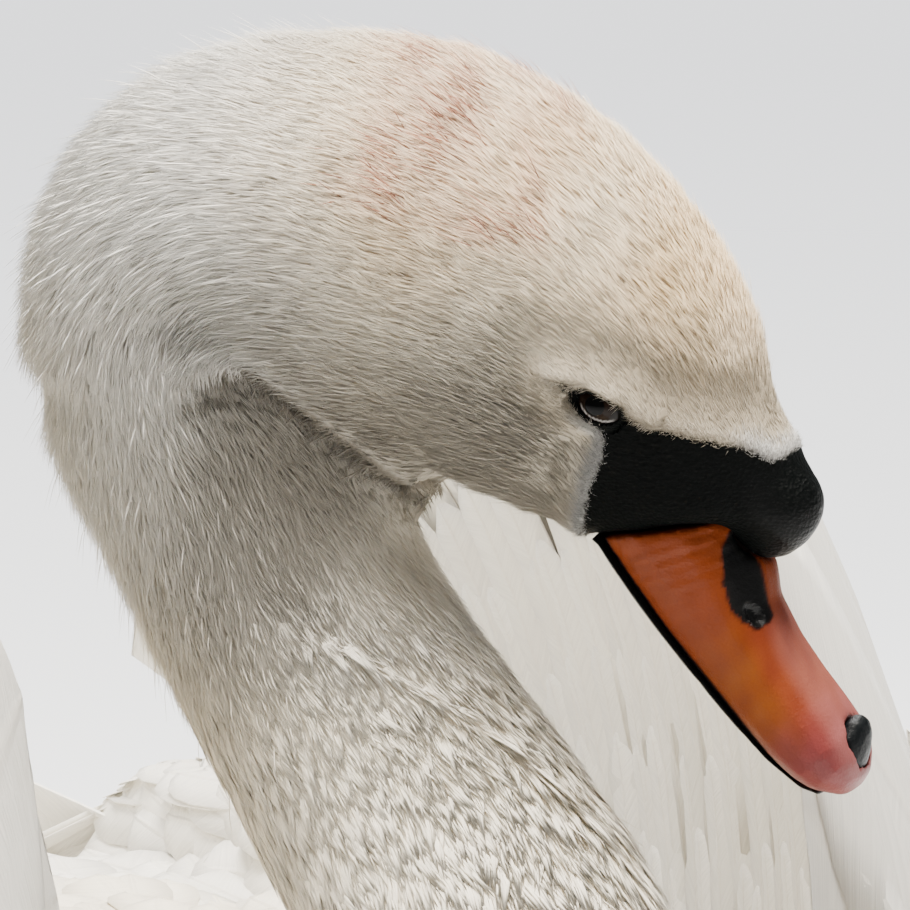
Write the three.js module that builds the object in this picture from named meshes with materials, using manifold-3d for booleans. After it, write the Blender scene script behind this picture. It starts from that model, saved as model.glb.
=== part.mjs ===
// Mute swan, adult male, sitting on its belly in the threat posture of the species: neck drawn
// back and fluffed, bill held down, wings arched over the back, feet tucked under.
// Units are millimetres. +Z is up, the swan faces -Y, its left side is +X, and the floor is z = 0.
import * as THREE from 'three';
import { ParametricGeometry } from 'three/addons/geometries/ParametricGeometry.js';
import { mergeVertices } from 'three/addons/utils/BufferGeometryUtils.js';
import Module from 'manifold-3d';

// ---------------------------------------------------------------- driving dimensions

const GAP = 0.3; // parting gap between neighbouring pieces
const HEAD_PLACE = new THREE.Vector3(58, -150, 430); // midpoint between the eyes
const HEAD_TURN = THREE.MathUtils.degToRad(45); // the head looks to the swan's left
const EYE_RADIUS = 8;
const EYE_SPREAD = 23.5; // eye centre from the head's middle plane
const BILL_PITCH = THREE.MathUtils.degToRad(54); // the bill points this far below level
const BILL_TIP = 123; // along the bill from the midpoint between the eyes
const WING_TOP = 485;
const TAIL_TIP = 455;
const TARSUS = 112;
const MIDDLE_TOE = 150;

// ---------------------------------------------------------------- solids and their cuts

const wasm = await Module();
wasm.setup();

// A closed surface as a solid: shared corners are merged, collapsed triangles dropped, and a
// surface that faces inwards is turned.
function solidOf(geometry) {
  const bare = geometry.clone();
  bare.deleteAttribute('normal');
  bare.deleteAttribute('uv');
  const merged = mergeVertices(bare, 1e-3);
  const corners = [];
  for (let i = 0; i < merged.index.count; i += 3) {
    const [a, b, c] = [0, 1, 2].map((k) => merged.index.getX(i + k));
    if (a !== b && b !== c && c !== a) corners.push(a, b, c);
  }
  const vertProperties = new Float32Array(merged.attributes.position.array);
  const solid = (triVerts) => {
    const mesh = new wasm.Mesh({ numProp: 3, vertProperties, triVerts });
    return new wasm.Manifold(mesh);
  };
  const asGiven = solid(new Uint32Array(corners));
  return asGiven.volume() > 0 ? asGiven : solid(new Uint32Array(corners).reverse());
}

function geometryOf(solid) {
  const mesh = solid.getMesh();
  const geometry = new THREE.BufferGeometry();
  geometry.setAttribute('position', new THREE.BufferAttribute(mesh.vertProperties, 3));
  geometry.setIndex(new THREE.BufferAttribute(mesh.triVerts, 1));
  geometry.computeVertexNormals();
  return geometry;
}

// Signed power, which squares up an ellipse.
function squared(value, power) {
  return Math.sign(value) * Math.abs(value) ** power;
}

// One station of a sweep: centre, half sizes to the back, belly and sides, and where it faces.
function station(at, back, belly, side, heading = 0) {
  return { at, sizes: new THREE.Vector3(back, belly, side), heading: new THREE.Vector3(heading) };
}

// A rounded body swept along a smooth line through its stations, from the tail end forward.
// It runs between two of its stations, counted from 0, and stands clear of its end planes.
function sweep(stations, options = {}) {
  const last = stations.length - 1;
  const { around = 20, along = 12, grow = 0, power = 1, from = 0, to = last, clear = 0 } = options;
  const through = (values) => new THREE.CatmullRomCurve3(values, false, 'catmullrom', 0.5);
  const line = through(stations.map((place) => place.at));
  const sizes = through(stations.map((place) => place.sizes));
  const headings = through(stations.map((place) => place.heading));
  const rings = along + 2;
  const surface = (u, v, target) => {
    const ring = THREE.MathUtils.clamp(Math.round(v * rings) - 1, 0, along);
    const isCap = v < 0.5 / rings || v > 1 - 0.5 / rings;
    const t = (from + (to - from) * (ring / along)) / last;
    const forward = line.getTangent(t);
    const heading = headings.getPoint(t).x;
    const left = new THREE.Vector3(Math.cos(heading), Math.sin(heading), 0);
    left.addScaledVector(forward, -left.dot(forward)).normalize();
    const up = new THREE.Vector3().crossVectors(forward, left);
    const half = sizes.getPoint(t).addScalar(grow);
    const angle = 2 * Math.PI * (u === 1 ? 0 : u);
    const height = Math.sin(angle) > 0 ? half.x : half.y;
    const sideways = isCap ? 0 : half.z * squared(Math.cos(angle), power);
    const upward = isCap ? 0 : height * squared(Math.sin(angle), power);
    target.copy(line.getPoint(t)).addScaledVector(left, sideways).addScaledVector(up, upward);
    const endShift = (v < 0.5 ? -1 : 1) * (grow - clear);
    if (isCap || ring === 0 || ring === along) target.addScaledVector(forward, endShift);
  };
  return solidOf(new ParametricGeometry(surface, around, rings));
}

// A sheet with two faces: place(u, v, face) gives its points, with face 1 outside and 0 inside.
function slab(place, along, across) {
  const geometry = new THREE.BoxGeometry(1, 1, 1, along, across, 1);
  const position = geometry.attributes.position;
  for (let i = 0; i < position.count; i += 1) {
    const u = position.getX(i) + 0.5;
    const v = position.getY(i) + 0.5;
    const point = place(u, v, position.getZ(i) + 0.5);
    position.setXYZ(i, point.x, point.y, point.z);
  }
  return solidOf(geometry);
}

// A box from its least to its greatest corner, for flat cuts.
function block(low, high) {
  const size = new THREE.Vector3().subVectors(high, low);
  const middle = new THREE.Vector3().addVectors(low, high).multiplyScalar(0.5);
  return solidOf(new THREE.BoxGeometry(size.x, size.y, size.z).translate(middle.x, middle.y, middle.z));
}

const FAR = 2000;
const BELOW_FLOOR = block(new THREE.Vector3(-FAR, -FAR, -FAR), new THREE.Vector3(FAR, FAR, 0));

const group = new THREE.Group();

function addMesh(name, solid, color, roughness) {
  const material = new THREE.MeshStandardMaterial({ color, roughness, metalness: 0 });
  const mesh = new THREE.Mesh(geometryOf(solid), material);
  mesh.name = name;
  group.add(mesh);
}

const PLUMAGE = 0xf1ebdd;
const BILL_ORANGE = 0xd9682f;
const BARE_BLACK = 0x15171a;
const LEG_GREY = 0x2b2c2e;
const EYE_BROWN = 0x120d0b;
const FEATHER_ROUGHNESS = 0.9;

// ---------------------------------------------------------------- head and bill

// A point given from the midpoint between the eyes: to the head's left, forward and up.
function inHead(left, forward, up) {
  const point = new THREE.Vector3(left, -forward, up);
  return point.applyAxisAngle(new THREE.Vector3(0, 0, 1), HEAD_TURN).add(HEAD_PLACE);
}

// A point given in the bill: along it from the eyes, above its axis, and to the left.
function inBill(along, above, left = 0) {
  const forward = along * Math.cos(BILL_PITCH) + above * Math.sin(BILL_PITCH);
  const up = above * Math.cos(BILL_PITCH) - along * Math.sin(BILL_PITCH);
  return inHead(left, forward, up);
}

// Arch of the neck and head, from the top of the neck forward to the bare mask.
const headStations = [
  station(inHead(0, -141, -5), 35, 28, 42, HEAD_TURN),
  station(inHead(0, -140, 10), 36, 28, 42, HEAD_TURN),
  station(inHead(0, -134, 26), 40, 30, 42, HEAD_TURN),
  station(inHead(0, -121, 37), 44, 36, 43, HEAD_TURN),
  station(inHead(0, -102, 43), 48, 45, 44, HEAD_TURN),
  station(inHead(0, -72, 39), 57, 54, 45, HEAD_TURN),
  station(inHead(0, -42, 27), 59, 57, 42, HEAD_TURN),
  station(inHead(0, -20, 14), 55, 57, 37, HEAD_TURN),
  station(inHead(0, -3, 0), 49, 54, 31, HEAD_TURN),
  station(inHead(0, 9, -16), 39.5, 48, 25.5, HEAD_TURN),
  station(inHead(0, 17, -32), 33, 38, 22, HEAD_TURN),
  station(inHead(0, 24, -46), 24, 26, 18, HEAD_TURN),
];
const ARCH_END = 4; // station where the arch ends and the head begins

// The mask ends on a plane that rises a little from the gape to the knob.
const maskCut = solidOf(
  new THREE.BoxGeometry(200, 200, 200)
    .translate(0, 0, -100)
    .rotateX(THREE.MathUtils.degToRad(-11))
    .rotateZ(HEAD_TURN)
    .translate(...inHead(0, 13, -36).toArray()),
);

function eyeball(side, grow) {
  const ball = new THREE.SphereGeometry(EYE_RADIUS + grow, 12, 8);
  return solidOf(ball.translate(...inHead(side * EYE_SPREAD, 0, 0).toArray()));
}

// Knob: a smooth lobe on the forehead end of the bill.
function knobBody(grow) {
  const ball = new THREE.SphereGeometry(1, 14, 10)
    .scale(13 + grow, 12.5 + grow, 15.5 + grow)
    .rotateX(Math.PI / 2 - BILL_PITCH)
    .rotateZ(HEAD_TURN);
  return solidOf(ball.translate(...inBill(50, 14.5).toArray()));
}

// Upper bill: high at its base, then a broad, rounded spoon.
const billUpperStations = [
  station(inBill(28, -16), 26, 13, 21, HEAD_TURN),
  station(inBill(50, -16), 22, 13.5, 19.5, HEAD_TURN),
  station(inBill(68, -16), 16.5, 13, 17.5, HEAD_TURN),
  station(inBill(85, -15), 13.5, 12.5, 16.5, HEAD_TURN),
  station(inBill(100, -13.5), 12.5, 11.5, 17.5, HEAD_TURN),
  station(inBill(BILL_TIP - 11, -12), 11, 9.5, 17, HEAD_TURN),
  station(inBill(BILL_TIP - 4, -12), 7.5, 6.5, 12.5, HEAD_TURN),
  station(inBill(BILL_TIP, -13), 2.5, 2, 5, HEAD_TURN),
];

// Lower bill: a shallow trough that shows only as an edge under the upper one.
const billLowerStations = [
  station(inBill(26, -29), 6, 5, 17, HEAD_TURN),
  station(inBill(42, -29), 6, 6.5, 17.5, HEAD_TURN),
  station(inBill(65, -28), 6, 6, 16, HEAD_TURN),
  station(inBill(90, -25.5), 5, 5, 14.5, HEAD_TURN),
  station(inBill(BILL_TIP - 12, -21.5), 4, 4, 12.5, HEAD_TURN),
  station(inBill(BILL_TIP - 4, -18.5), 2, 2, 7, HEAD_TURN),
];

// Nail: the hooked plate at the bill's tip.
function nailBody(grow) {
  const plate = new THREE.SphereGeometry(1, 12, 8)
    .scale(8 + grow, 5 + grow, 11.5 + grow)
    .rotateX(Math.PI / 2 - BILL_PITCH - 0.35)
    .rotateZ(HEAD_TURN);
  return solidOf(plate.translate(...inBill(BILL_TIP - 8.5, -7).toArray()));
}

// ---------------------------------------------------------------- neck

// From the breast up and back, over the arch and into the head. Headings turn from the body's
// to the head's.
const neckStations = [
  station(new THREE.Vector3(0, -215, 110), 78, 78, 82, 0),
  station(new THREE.Vector3(0, -252, 160), 72, 72, 74, 0),
  station(new THREE.Vector3(2, -246, 212), 62, 63, 63, 0.05),
  station(new THREE.Vector3(4, -204, 258), 57, 56, 55, 0.15),
  station(new THREE.Vector3(7, -161, 294), 55, 52, 51, 0.3),
  station(new THREE.Vector3(-1, -116, 331), 51, 48, 48, 0.5),
  station(new THREE.Vector3(-10, -89, 358), 48, 46, 46, 0.65),
  station(inHead(0, -114, -33), 47, 47, 44, HEAD_TURN),
  station(inHead(0, -129, -6), 45.5, 43, 42, HEAD_TURN),
  station(inHead(0, -136, 14), 32, 22, 34, HEAD_TURN),
];

// The neck is one line, parted into lengths between these stations.
const NECK_LENGTHS = [
  { name: 'neck_lower', from: 0, to: 3, rings: 7 },
  { name: 'neck_middle', from: 3, to: 5.5, rings: 5 },
  { name: 'neck_upper', from: 5.5, to: 9, rings: 7 },
];

// ---------------------------------------------------------------- trunk and tail

const trunkStations = [
  station(new THREE.Vector3(0, 322, 176), 26, 42, 46),
  station(new THREE.Vector3(0, 285, 158), 52, 82, 76),
  station(new THREE.Vector3(0, 215, 140), 82, 122, 106),
  station(new THREE.Vector3(0, 120, 128), 106, 131, 128),
  station(new THREE.Vector3(0, 20, 122), 118, 128, 138),
  station(new THREE.Vector3(0, -80, 120), 120, 126, 138),
  station(new THREE.Vector3(0, -170, 120), 112, 122, 128),
  station(new THREE.Vector3(0, -245, 120), 88, 102, 104),
  station(new THREE.Vector3(0, -295, 118), 58, 68, 74),
  station(new THREE.Vector3(0, -318, 116), 24, 30, 34),
];

function trunkBody(grow) {
  const options = { around: 26, along: 14, grow, power: 0.92 };
  return sweep(trunkStations, options).subtract(BELOW_FLOOR);
}

// The tail: a short wedge of broad feathers, closed and slightly raised.
const TAIL_ROOT = 235;
const TAIL_FEATHERS = 9;

function tailBody() {
  return slab((u, v, face) => {
    const across = 2 * u - 1;
    const notch = 7 * Math.abs(Math.sin(TAIL_FEATHERS * Math.PI * u));
    const reach = TAIL_TIP - 70 * across ** 2 - 7 + notch - TAIL_ROOT;
    const half = 82 - 12 * v;
    const thick = (2 + 50 * (1 - v) ** 1.4) * (1 - 0.75 * across ** 4);
    const height = 150 + 34 * v - 26 * across ** 2 * (1 - 0.4 * v);
    return new THREE.Vector3(
      across * half,
      TAIL_ROOT + v * reach,
      height + (face - 0.5) * thick,
    );
  }, TAIL_FEATHERS * 2, 4);
}

// ---------------------------------------------------------------- wings

const WING_FRONT = -222;
const WING_FEATHERS = 11;
const ARM_HEIGHT = 0.45; // where the coverts end and the flight feathers begin, up the wing

// The left wing's surface: u runs from the shoulder to the rear, v from the flank to the tips.
function wingPoint(u, v, face, grow) {
  const rise = Math.sin(Math.PI * u ** 0.72);
  const swell = Math.sin(Math.PI * u);
  const low = 172 - 260 * u * (1 - u) - 20 * u;
  const scallop = 9 * Math.abs(Math.sin(WING_FEATHERS * Math.PI * u)) * swell;
  const high = 236 + (WING_TOP - 245) * rise ** 0.75 + scallop;
  const near = WING_FRONT + 372 * u;
  const far = WING_FRONT + 62 + 480 * u;
  const out = 106 + 46 * swell ** 0.8 + 36 * Math.sin(Math.PI * v ** 0.9) - 38 * v ** 2.2 * swell;
  const thick = 1.6 + (4 + 26 * swell) * (1 - v) ** 1.4;
  return new THREE.Vector3(
    out + (face - 1) * thick + (2 * face - 1) * grow,
    near + (far - near) * v ** 1.1,
    low + (high - low) * v,
  );
}

function wingPart(lowest, highest, along, across, grow = 0) {
  const height = highest - lowest;
  return slab((u, v, face) => wingPoint(u, lowest + height * v, face, grow), along, across);
}

// The folded primaries: a narrow blade that runs back beside the tail.
function primariesBody() {
  return slab((u, v, face) => {
    const width = 84 * (1 - v ** 2.2) ** 0.7 + 8;
    const thick = 2 + 12 * (1 - v);
    const middle = 120 - 80 * v ** 1.1;
    return new THREE.Vector3(
      middle - (u - 0.5) * width * 0.55 - (face - 0.5) * -thick * 0.8,
      140 + 285 * v,
      168 + 44 * v ** 1.2 - (0.5 - u) * width * 0.8 + (face - 0.5) * thick * 0.6,
    );
  }, 3, 8);
}

// Scapulars: the soft lobe of feathers between the back and the raised wing.
const scapularStations = [
  station(new THREE.Vector3(74, 250, 206), 10, 10, 12),
  station(new THREE.Vector3(84, 205, 210), 30, 30, 26),
  station(new THREE.Vector3(92, 110, 216), 42, 42, 36),
  station(new THREE.Vector3(94, -10, 218), 46, 46, 40),
  station(new THREE.Vector3(88, -120, 214), 36, 36, 34),
  station(new THREE.Vector3(80, -172, 206), 14, 14, 16),
];

// ---------------------------------------------------------------- legs and feet

const TOE_JOINT = new THREE.Vector3(104, 8, 9);

function limb(points, radii, around = 6, along = 4) {
  const stations = points.map((point, i) => station(point, radii[i], radii[i], radii[i]));
  return sweep(stations, { around, along });
}

// A toe lies on the floor: knuckles at its thirds, and a claw at the end.
function toe(length, turn, thickness) {
  const direction = new THREE.Vector3(Math.sin(turn), -Math.cos(turn), 0);
  const at = (part, height) => TOE_JOINT.clone().addScaledVector(direction, length * part).setZ(height);
  const points = [at(0, 8), at(0.33, 6.2), at(0.62, 5.4), at(0.88, 4.6), at(1, 1.6)];
  const radii = [thickness, thickness * 0.86, thickness * 0.8, thickness * 0.62, 1.2];
  return limb(points.reverse(), radii.reverse());
}

const TOES = [
  { turn: -0.16, length: MIDDLE_TOE * 0.8 },
  { turn: 0.2, length: MIDDLE_TOE },
  { turn: 0.58, length: MIDDLE_TOE * 0.93 },
];

// Web: fills the fan between the toes, hollowed at its front edge.
function webBody() {
  return slab((u, v, face) => {
    const place = u * (TOES.length - 1);
    const first = Math.min(Math.floor(place), TOES.length - 2);
    const part = place - first;
    const turn = THREE.MathUtils.lerp(TOES[first].turn, TOES[first + 1].turn, part);
    const length = THREE.MathUtils.lerp(TOES[first].length, TOES[first + 1].length, part);
    const reach = length * (0.9 - 0.13 * Math.sin(Math.PI * part)) * (0.04 + 0.96 * v);
    return new THREE.Vector3(
      TOE_JOINT.x + Math.sin(turn) * reach,
      TOE_JOINT.y - Math.cos(turn) * reach,
      1 + face * (2.4 + 3 * (1 - v)),
    );
  }, 4, 2);
}

function footBody() {
  const hindToe = limb(
    [new THREE.Vector3(96, 26, 3), new THREE.Vector3(92, 16, 6), new THREE.Vector3(98, 6, 9)],
    [1.6, 3.4, 3.6],
    5,
    2,
  );
  return TOES.map(({ turn, length }) => toe(length, turn, 7.5))
    .reduce((whole, part) => whole.add(part), webBody())
    .add(hindToe)
    .subtract(BELOW_FLOOR);
}

// Lower leg: the tarsus lies along the floor and the heel is under the rump.
function legBody(grow) {
  const heel = new THREE.Vector3(96, TOE_JOINT.y + TARSUS, 14);
  return limb(
    [new THREE.Vector3(88, 78, 52), new THREE.Vector3(94, 108, 30), heel,
      new THREE.Vector3(101, 66, 11), TOE_JOINT],
    [13, 12, 12, 8, 9].map((radius) => radius + grow),
    8,
    8,
  ).subtract(BELOW_FLOOR);
}

// ---------------------------------------------------------------- assembly

const mirrored = (solid) => solid.mirror([1, 0, 0]);
const bothSides = (solid) => solid.add(mirrored(solid));

const archSweep = (options) => sweep(headStations, { around: 22, along: 7, to: ARCH_END, ...options });
const headSweep = (options) => {
  const whole = sweep(headStations, { around: 22, along: 11, from: ARCH_END, ...options });
  return whole.subtract(maskCut);
};
const headGrown = headSweep({ grow: 2 * GAP }).add(archSweep({ grow: 2 * GAP }));
const eyesGrown = eyeball(1, GAP).add(eyeball(-1, GAP));
const headPart = headSweep({ clear: GAP / 2 }).subtract(eyesGrown).subtract(knobBody(GAP));
addMesh('head', headPart, PLUMAGE, FEATHER_ROUGHNESS);
addMesh('eye_left', eyeball(1, 0), EYE_BROWN, 0.1);
addMesh('eye_right', eyeball(-1, 0), EYE_BROWN, 0.1);

const nailGrown = nailBody(GAP);
const knobGrown = knobBody(GAP);
const billUpper = (grow) => sweep(billUpperStations, { along: 10, around: 16, power: 0.86, grow });
const billLower = sweep(billLowerStations, { along: 7, around: 10, power: 0.9 });
const upperBill = billUpper(0).subtract(headGrown).subtract(knobGrown).subtract(nailGrown);
const lowerBill = billLower.subtract(headGrown).subtract(billUpper(GAP)).subtract(nailGrown);
addMesh('knob', knobBody(0), BARE_BLACK, 0.35);
addMesh('bill_upper', upperBill, BILL_ORANGE, 0.45);
addMesh('bill_lower', lowerBill, BARE_BLACK, 0.5);
addMesh('bill_nail', nailBody(0), BARE_BLACK, 0.35);

const trunkGrown = trunkBody(GAP);
const neckPart = ({ from, to, rings }) => {
  const length = sweep(neckStations, { around: 20, along: rings, from, to, clear: GAP / 2 });
  return length.subtract(headGrown).subtract(trunkGrown);
};
NECK_LENGTHS.forEach((length) => addMesh(length.name, neckPart(length), PLUMAGE, FEATHER_ROUGHNESS));
const neckTop = neckPart(NECK_LENGTHS[NECK_LENGTHS.length - 1]);
const archPart = archSweep({ clear: GAP / 2 }).subtract(neckTop);
addMesh('neck_arch', archPart, PLUMAGE, FEATHER_ROUGHNESS);

const leg = legBody(0);
const foot = footBody().subtract(legBody(GAP));
const legsGrown = bothSides(legBody(GAP));
const feetGrown = bothSides(footBody());
const trunkPart = trunkBody(0).subtract(legsGrown).subtract(feetGrown);
addMesh('trunk', trunkPart, PLUMAGE, FEATHER_ROUGHNESS);
addMesh('tail', tailBody().subtract(trunkGrown), PLUMAGE, FEATHER_ROUGHNESS);

const covertsWhole = wingPart(0, ARM_HEIGHT - 0.001, WING_FEATHERS * 2, 3);
const flight = wingPart(ARM_HEIGHT + 0.001, 1, WING_FEATHERS * 2, 4);
const wingGrown = wingPart(0, ARM_HEIGHT, WING_FEATHERS * 2, 3, 2 * GAP)
  .add(wingPart(ARM_HEIGHT, 1, WING_FEATHERS * 2, 4, 2 * GAP));
const scapulars = (grow) => sweep(scapularStations, { around: 10, along: 7, grow });
const scapularLobe = scapulars(0).subtract(wingGrown).subtract(covertsWhole);
const primaries = primariesBody()
  .subtract(wingGrown)
  .subtract(covertsWhole)
  .subtract(scapulars(2 * GAP));
const wingParts = { coverts: covertsWhole, primaries, scapulars: scapularLobe };

[['left', (solid) => solid], ['right', mirrored]].forEach(([side, place]) => {
  Object.entries(wingParts).forEach(([name, solid]) => {
    addMesh(`wing_${name}_${side}`, place(solid).subtract(trunkGrown), PLUMAGE, FEATHER_ROUGHNESS);
  });
  addMesh(`wing_flight_${side}`, place(flight), PLUMAGE, FEATHER_ROUGHNESS);
  addMesh(`leg_${side}`, place(leg), LEG_GREY, 0.7);
  addMesh(`foot_${side}`, place(foot), LEG_GREY, 0.7);
});

// The origin is on the floor, under the middle of the whole bird.
const middle = new THREE.Box3().setFromObject(group).getCenter(new THREE.Vector3());
group.position.set(-middle.x, -middle.y, 0);

export default group;
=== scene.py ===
import math

import bmesh
import bpy
import numpy as np
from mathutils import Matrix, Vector
from mathutils.bvhtree import BVHTree


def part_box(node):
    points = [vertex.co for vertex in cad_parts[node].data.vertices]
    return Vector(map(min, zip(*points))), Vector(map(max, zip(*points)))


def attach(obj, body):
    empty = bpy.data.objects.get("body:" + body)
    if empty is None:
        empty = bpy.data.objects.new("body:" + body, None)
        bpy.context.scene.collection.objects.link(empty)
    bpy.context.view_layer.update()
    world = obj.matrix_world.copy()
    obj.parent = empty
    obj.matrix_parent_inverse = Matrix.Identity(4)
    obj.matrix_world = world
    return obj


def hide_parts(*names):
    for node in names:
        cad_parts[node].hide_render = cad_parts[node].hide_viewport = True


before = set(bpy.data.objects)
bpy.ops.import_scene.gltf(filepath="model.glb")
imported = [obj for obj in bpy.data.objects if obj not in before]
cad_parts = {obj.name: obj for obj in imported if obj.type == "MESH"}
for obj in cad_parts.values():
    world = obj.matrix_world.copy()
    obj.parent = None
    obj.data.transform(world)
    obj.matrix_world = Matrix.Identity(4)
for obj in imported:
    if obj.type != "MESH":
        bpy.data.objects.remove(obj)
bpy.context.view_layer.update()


# ---- The view ------------------------------------------------------------------------------
# A long lens looks at the head from the swan's front right, a little above it, so that the
# raised wings stand behind the head. Places on the head are given from between the eyes.

VIEW_AZIMUTH = math.radians(-25)
VIEW_HEIGHT = math.radians(13)
VIEW_DISTANCE = 2.5
VIEW_WIDTH = 0.2427
SENSOR = 36.0
AIM_RIGHT = -0.0475
AIM_UP = -0.0195


def box_middle(node):
    low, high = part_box(node)
    return (low + high) / 2


EYES = {1: box_middle("eye_left"), -1: box_middle("eye_right")}
BETWEEN_EYES = (EYES[1] + EYES[-1]) / 2
TO_LEFT = (EYES[1] - EYES[-1]).normalized()
UP = Vector((0, 0, 1))
AHEAD = TO_LEFT.cross(UP)

toward_camera = Vector((
    math.sin(VIEW_AZIMUTH) * math.cos(VIEW_HEIGHT),
    -math.cos(VIEW_AZIMUTH) * math.cos(VIEW_HEIGHT),
    math.sin(VIEW_HEIGHT),
))
view_right = UP.cross(toward_camera).normalized()
view_up = toward_camera.cross(view_right)
aim = BETWEEN_EYES + view_right * AIM_RIGHT + view_up * AIM_UP
camera_data = bpy.data.cameras.new("camera")
camera_data.sensor_width = SENSOR
camera_data.lens = SENSOR * VIEW_DISTANCE / VIEW_WIDTH
camera_data.clip_end = 20
camera = bpy.data.objects.new("camera", camera_data)
camera.location = aim + toward_camera * VIEW_DISTANCE
camera.rotation_euler = toward_camera.to_track_quat("Z", "Y").to_euler()
bpy.context.scene.collection.objects.link(camera)
bpy.context.scene.camera = camera


# ---- Lines of the body ---------------------------------------------------------------------
# The feathers lie back along two lines that run through the middle of the bird: from the bill
# over the head and the arch of the neck, and on down the neck and through the trunk to the tail.


def in_head(left, ahead, up):
    """A place on the head, in millimetres from between the eyes."""
    return BETWEEN_EYES + (TO_LEFT * left + AHEAD * ahead + UP * up) / 1000


HEAD_LINE = [(24, -46), (17, -32), (9, -16), (-3, 0), (-20, 14), (-42, 27), (-72, 39), (-102, 43),
             (-121, 37), (-134, 26), (-140, 10), (-139, -6), (-133, -24)]
NECK_LINE = [(-136, 14), (-129, -6), (-114, -33)]
# from between the eyes, in the bird's own directions
NECK_REST = [(-68, 61, -72), (-59, 34, -99), (-51, -11, -136), (-54, -54, -172), (-56, -96, -218),
             (-58, -102, -270), (-58, -65, -320)]
TRUNK_LINE = [(-58, -100, -285), (-58, -60, -308), (-58, 70, -310), (-58, 170, -308), (-58, 270, -302),
              (-58, 365, -290), (-58, 435, -272), (-58, 472, -254), (-58, 600, -240)]


def fine_line(places, steps=24):
    """A smooth line through the places, with its direction at each step."""
    given = np.array([tuple(place) for place in places])
    padded = np.vstack([2 * given[0] - given[1], given, 2 * given[-1] - given[-2]])
    points = []
    for i in range(len(given) - 1):
        a, b, c, d = padded[i:i + 4]
        for t in np.arange(steps) / steps:
            points.append(0.5 * (2 * b + (c - a) * t + (2 * a - 5 * b + 4 * c - d) * t ** 2
                                 + (3 * b - 3 * c + d - a) * t ** 3))
    points = np.array(points + [given[-1]])
    along = np.gradient(points, axis=0)
    along /= np.linalg.norm(along, axis=1)[:, None]
    length = np.r_[0, np.cumsum(np.linalg.norm(np.diff(points, axis=0), axis=1))]
    return points, along, length


def body_place(offset):
    """A place in the bird's own directions, in millimetres from between the eyes."""
    return BETWEEN_EYES + Vector(offset) / 1000


neck_places = [in_head(0, *place) for place in NECK_LINE] + [body_place(place) for place in NECK_REST]
LINES = {
    "head": fine_line([in_head(0, *place) for place in HEAD_LINE]),
    "neck": fine_line(neck_places),
    "trunk": fine_line([body_place(place) for place in TRUNK_LINE]),
}


def unit(vectors):
    return vectors / np.maximum(np.linalg.norm(vectors, axis=-1, keepdims=True), 1e-12)


def along_line(name, places):
    """Nearest step of a line for each place, a few thousand places at a time."""
    points = LINES[name][0]
    nearest = np.empty(len(places), dtype=int)
    for start in range(0, len(places), 4000):
        part = places[start:start + 4000]
        nearest[start:start + 4000] = ((part[:, None] - points[None]) ** 2).sum(-1).argmin(1)
    return nearest


def smooth_step(low, high, value):
    part = np.clip((value - low) / (high - low), 0, 1)
    return part * part * (3 - 2 * part)


def wave_noise(places, size, seed, layers=5):
    """Soft random waves between about -1 and 1, the same on every run."""
    source = np.random.default_rng(seed)
    total = np.zeros(len(places))
    for _ in range(layers):
        way = unit(source.normal(size=3)) * 2 * math.pi / size * source.uniform(0.6, 1.6)
        total += np.sin(places @ way + source.uniform(0, 2 * math.pi))
    return total / layers * 1.4


# ---- Bare mask and plumage colours ---------------------------------------------------------
# Black bare skin runs from the eye to the bill and over the knob. The plumage is white, with a
# warm stain on the crown and forehead; painted shade greys the cheeks and darkens the forehead,
# and a painted shadow and a painted dark crease lie under the cheek. The brow is tan, part stain, part
# painted shade.

# outline in the head's side view, millimetres ahead of and above the eyes
MASK_OUTLINE = np.array([
    (-10.5, 7.2), (-4, 4.6), (1, 2.6), (5.6, 0.2), (13.5, -5.6), (27.7, -9.4), (36.5, -11.6), (43, -16),
    (47, -13.5), (52, -14), (62, -30), (45, -62), (-8, -52), (-9.6, -41), (-6.6, -32), (-4.0, -24),
    (-0.2, -16), (1.2, -11), (0.4, -7.4), (-5.5, -3.5), (-8, 2)])


def head_frame(places):
    """Left, ahead and up from between the eyes, in millimetres."""
    away = (np.asarray(places) - np.array(BETWEEN_EYES)) * 1000
    return away @ np.array(TO_LEFT), away @ np.array(AHEAD), away @ np.array(UP)


def inside_outline(outline, across, up):
    """Millimetres inside an outline in a side view, negative outside it."""
    here = np.stack([across, up], -1)
    nearest = np.full(len(here), 1e9)
    inside = np.zeros(len(here), dtype=bool)
    for start, end in zip(outline, np.roll(outline, -1, axis=0)):
        edge = end - start
        part = np.clip(((here - start) @ edge) / (edge @ edge), 0, 1)
        nearest = np.minimum(nearest, np.linalg.norm(here - start - part[:, None] * edge, axis=1))
        crosses = (start[1] > here[:, 1]) != (end[1] > here[:, 1])
        rise = edge[1] if edge[1] else 1e-9
        inside ^= crosses & (here[:, 0] < start[0] + edge[0] * (here[:, 1] - start[1]) / rise)
    return np.where(inside, nearest, -nearest)


def bare_depth(places):
    """Millimetres inside the mask for places on the head, large and negative elsewhere."""
    left, ahead, up = head_frame(places)
    depth = inside_outline(MASK_OUTLINE, ahead, up)
    far = (np.abs(left) > 45) | (ahead < -60)
    return np.where(far, -60, depth)


# the lower edge of the cheek overhangs the neck along this line, ahead of and above the eyes
FOLD_LINE = np.array([
    (-124, -5), (-112, -1.5), (-105, 1.4), (-98.3, 2.2), (-89.7, -4.6), (-83.2, -9.6), (-79.5, -13),
    (-75.2, -16.6), (-70.4, -21), (-67.5, -24.4), (-65.6, -26.8), (-61, -31), (-57, -33.5), (-50, -42),
    (-40, -48), (0, -52)])
FOLD_OUT = 2.4  # millimetres that the cheek stands out over the fold, and the neck lies in under it
FOLD_IN = 3.4
FOLD_SLOPE = 0.885  # from height below the line to distance from it
FOLD_FADES = (75, 12)  # millimetres below it over which the neck comes out again


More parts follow.
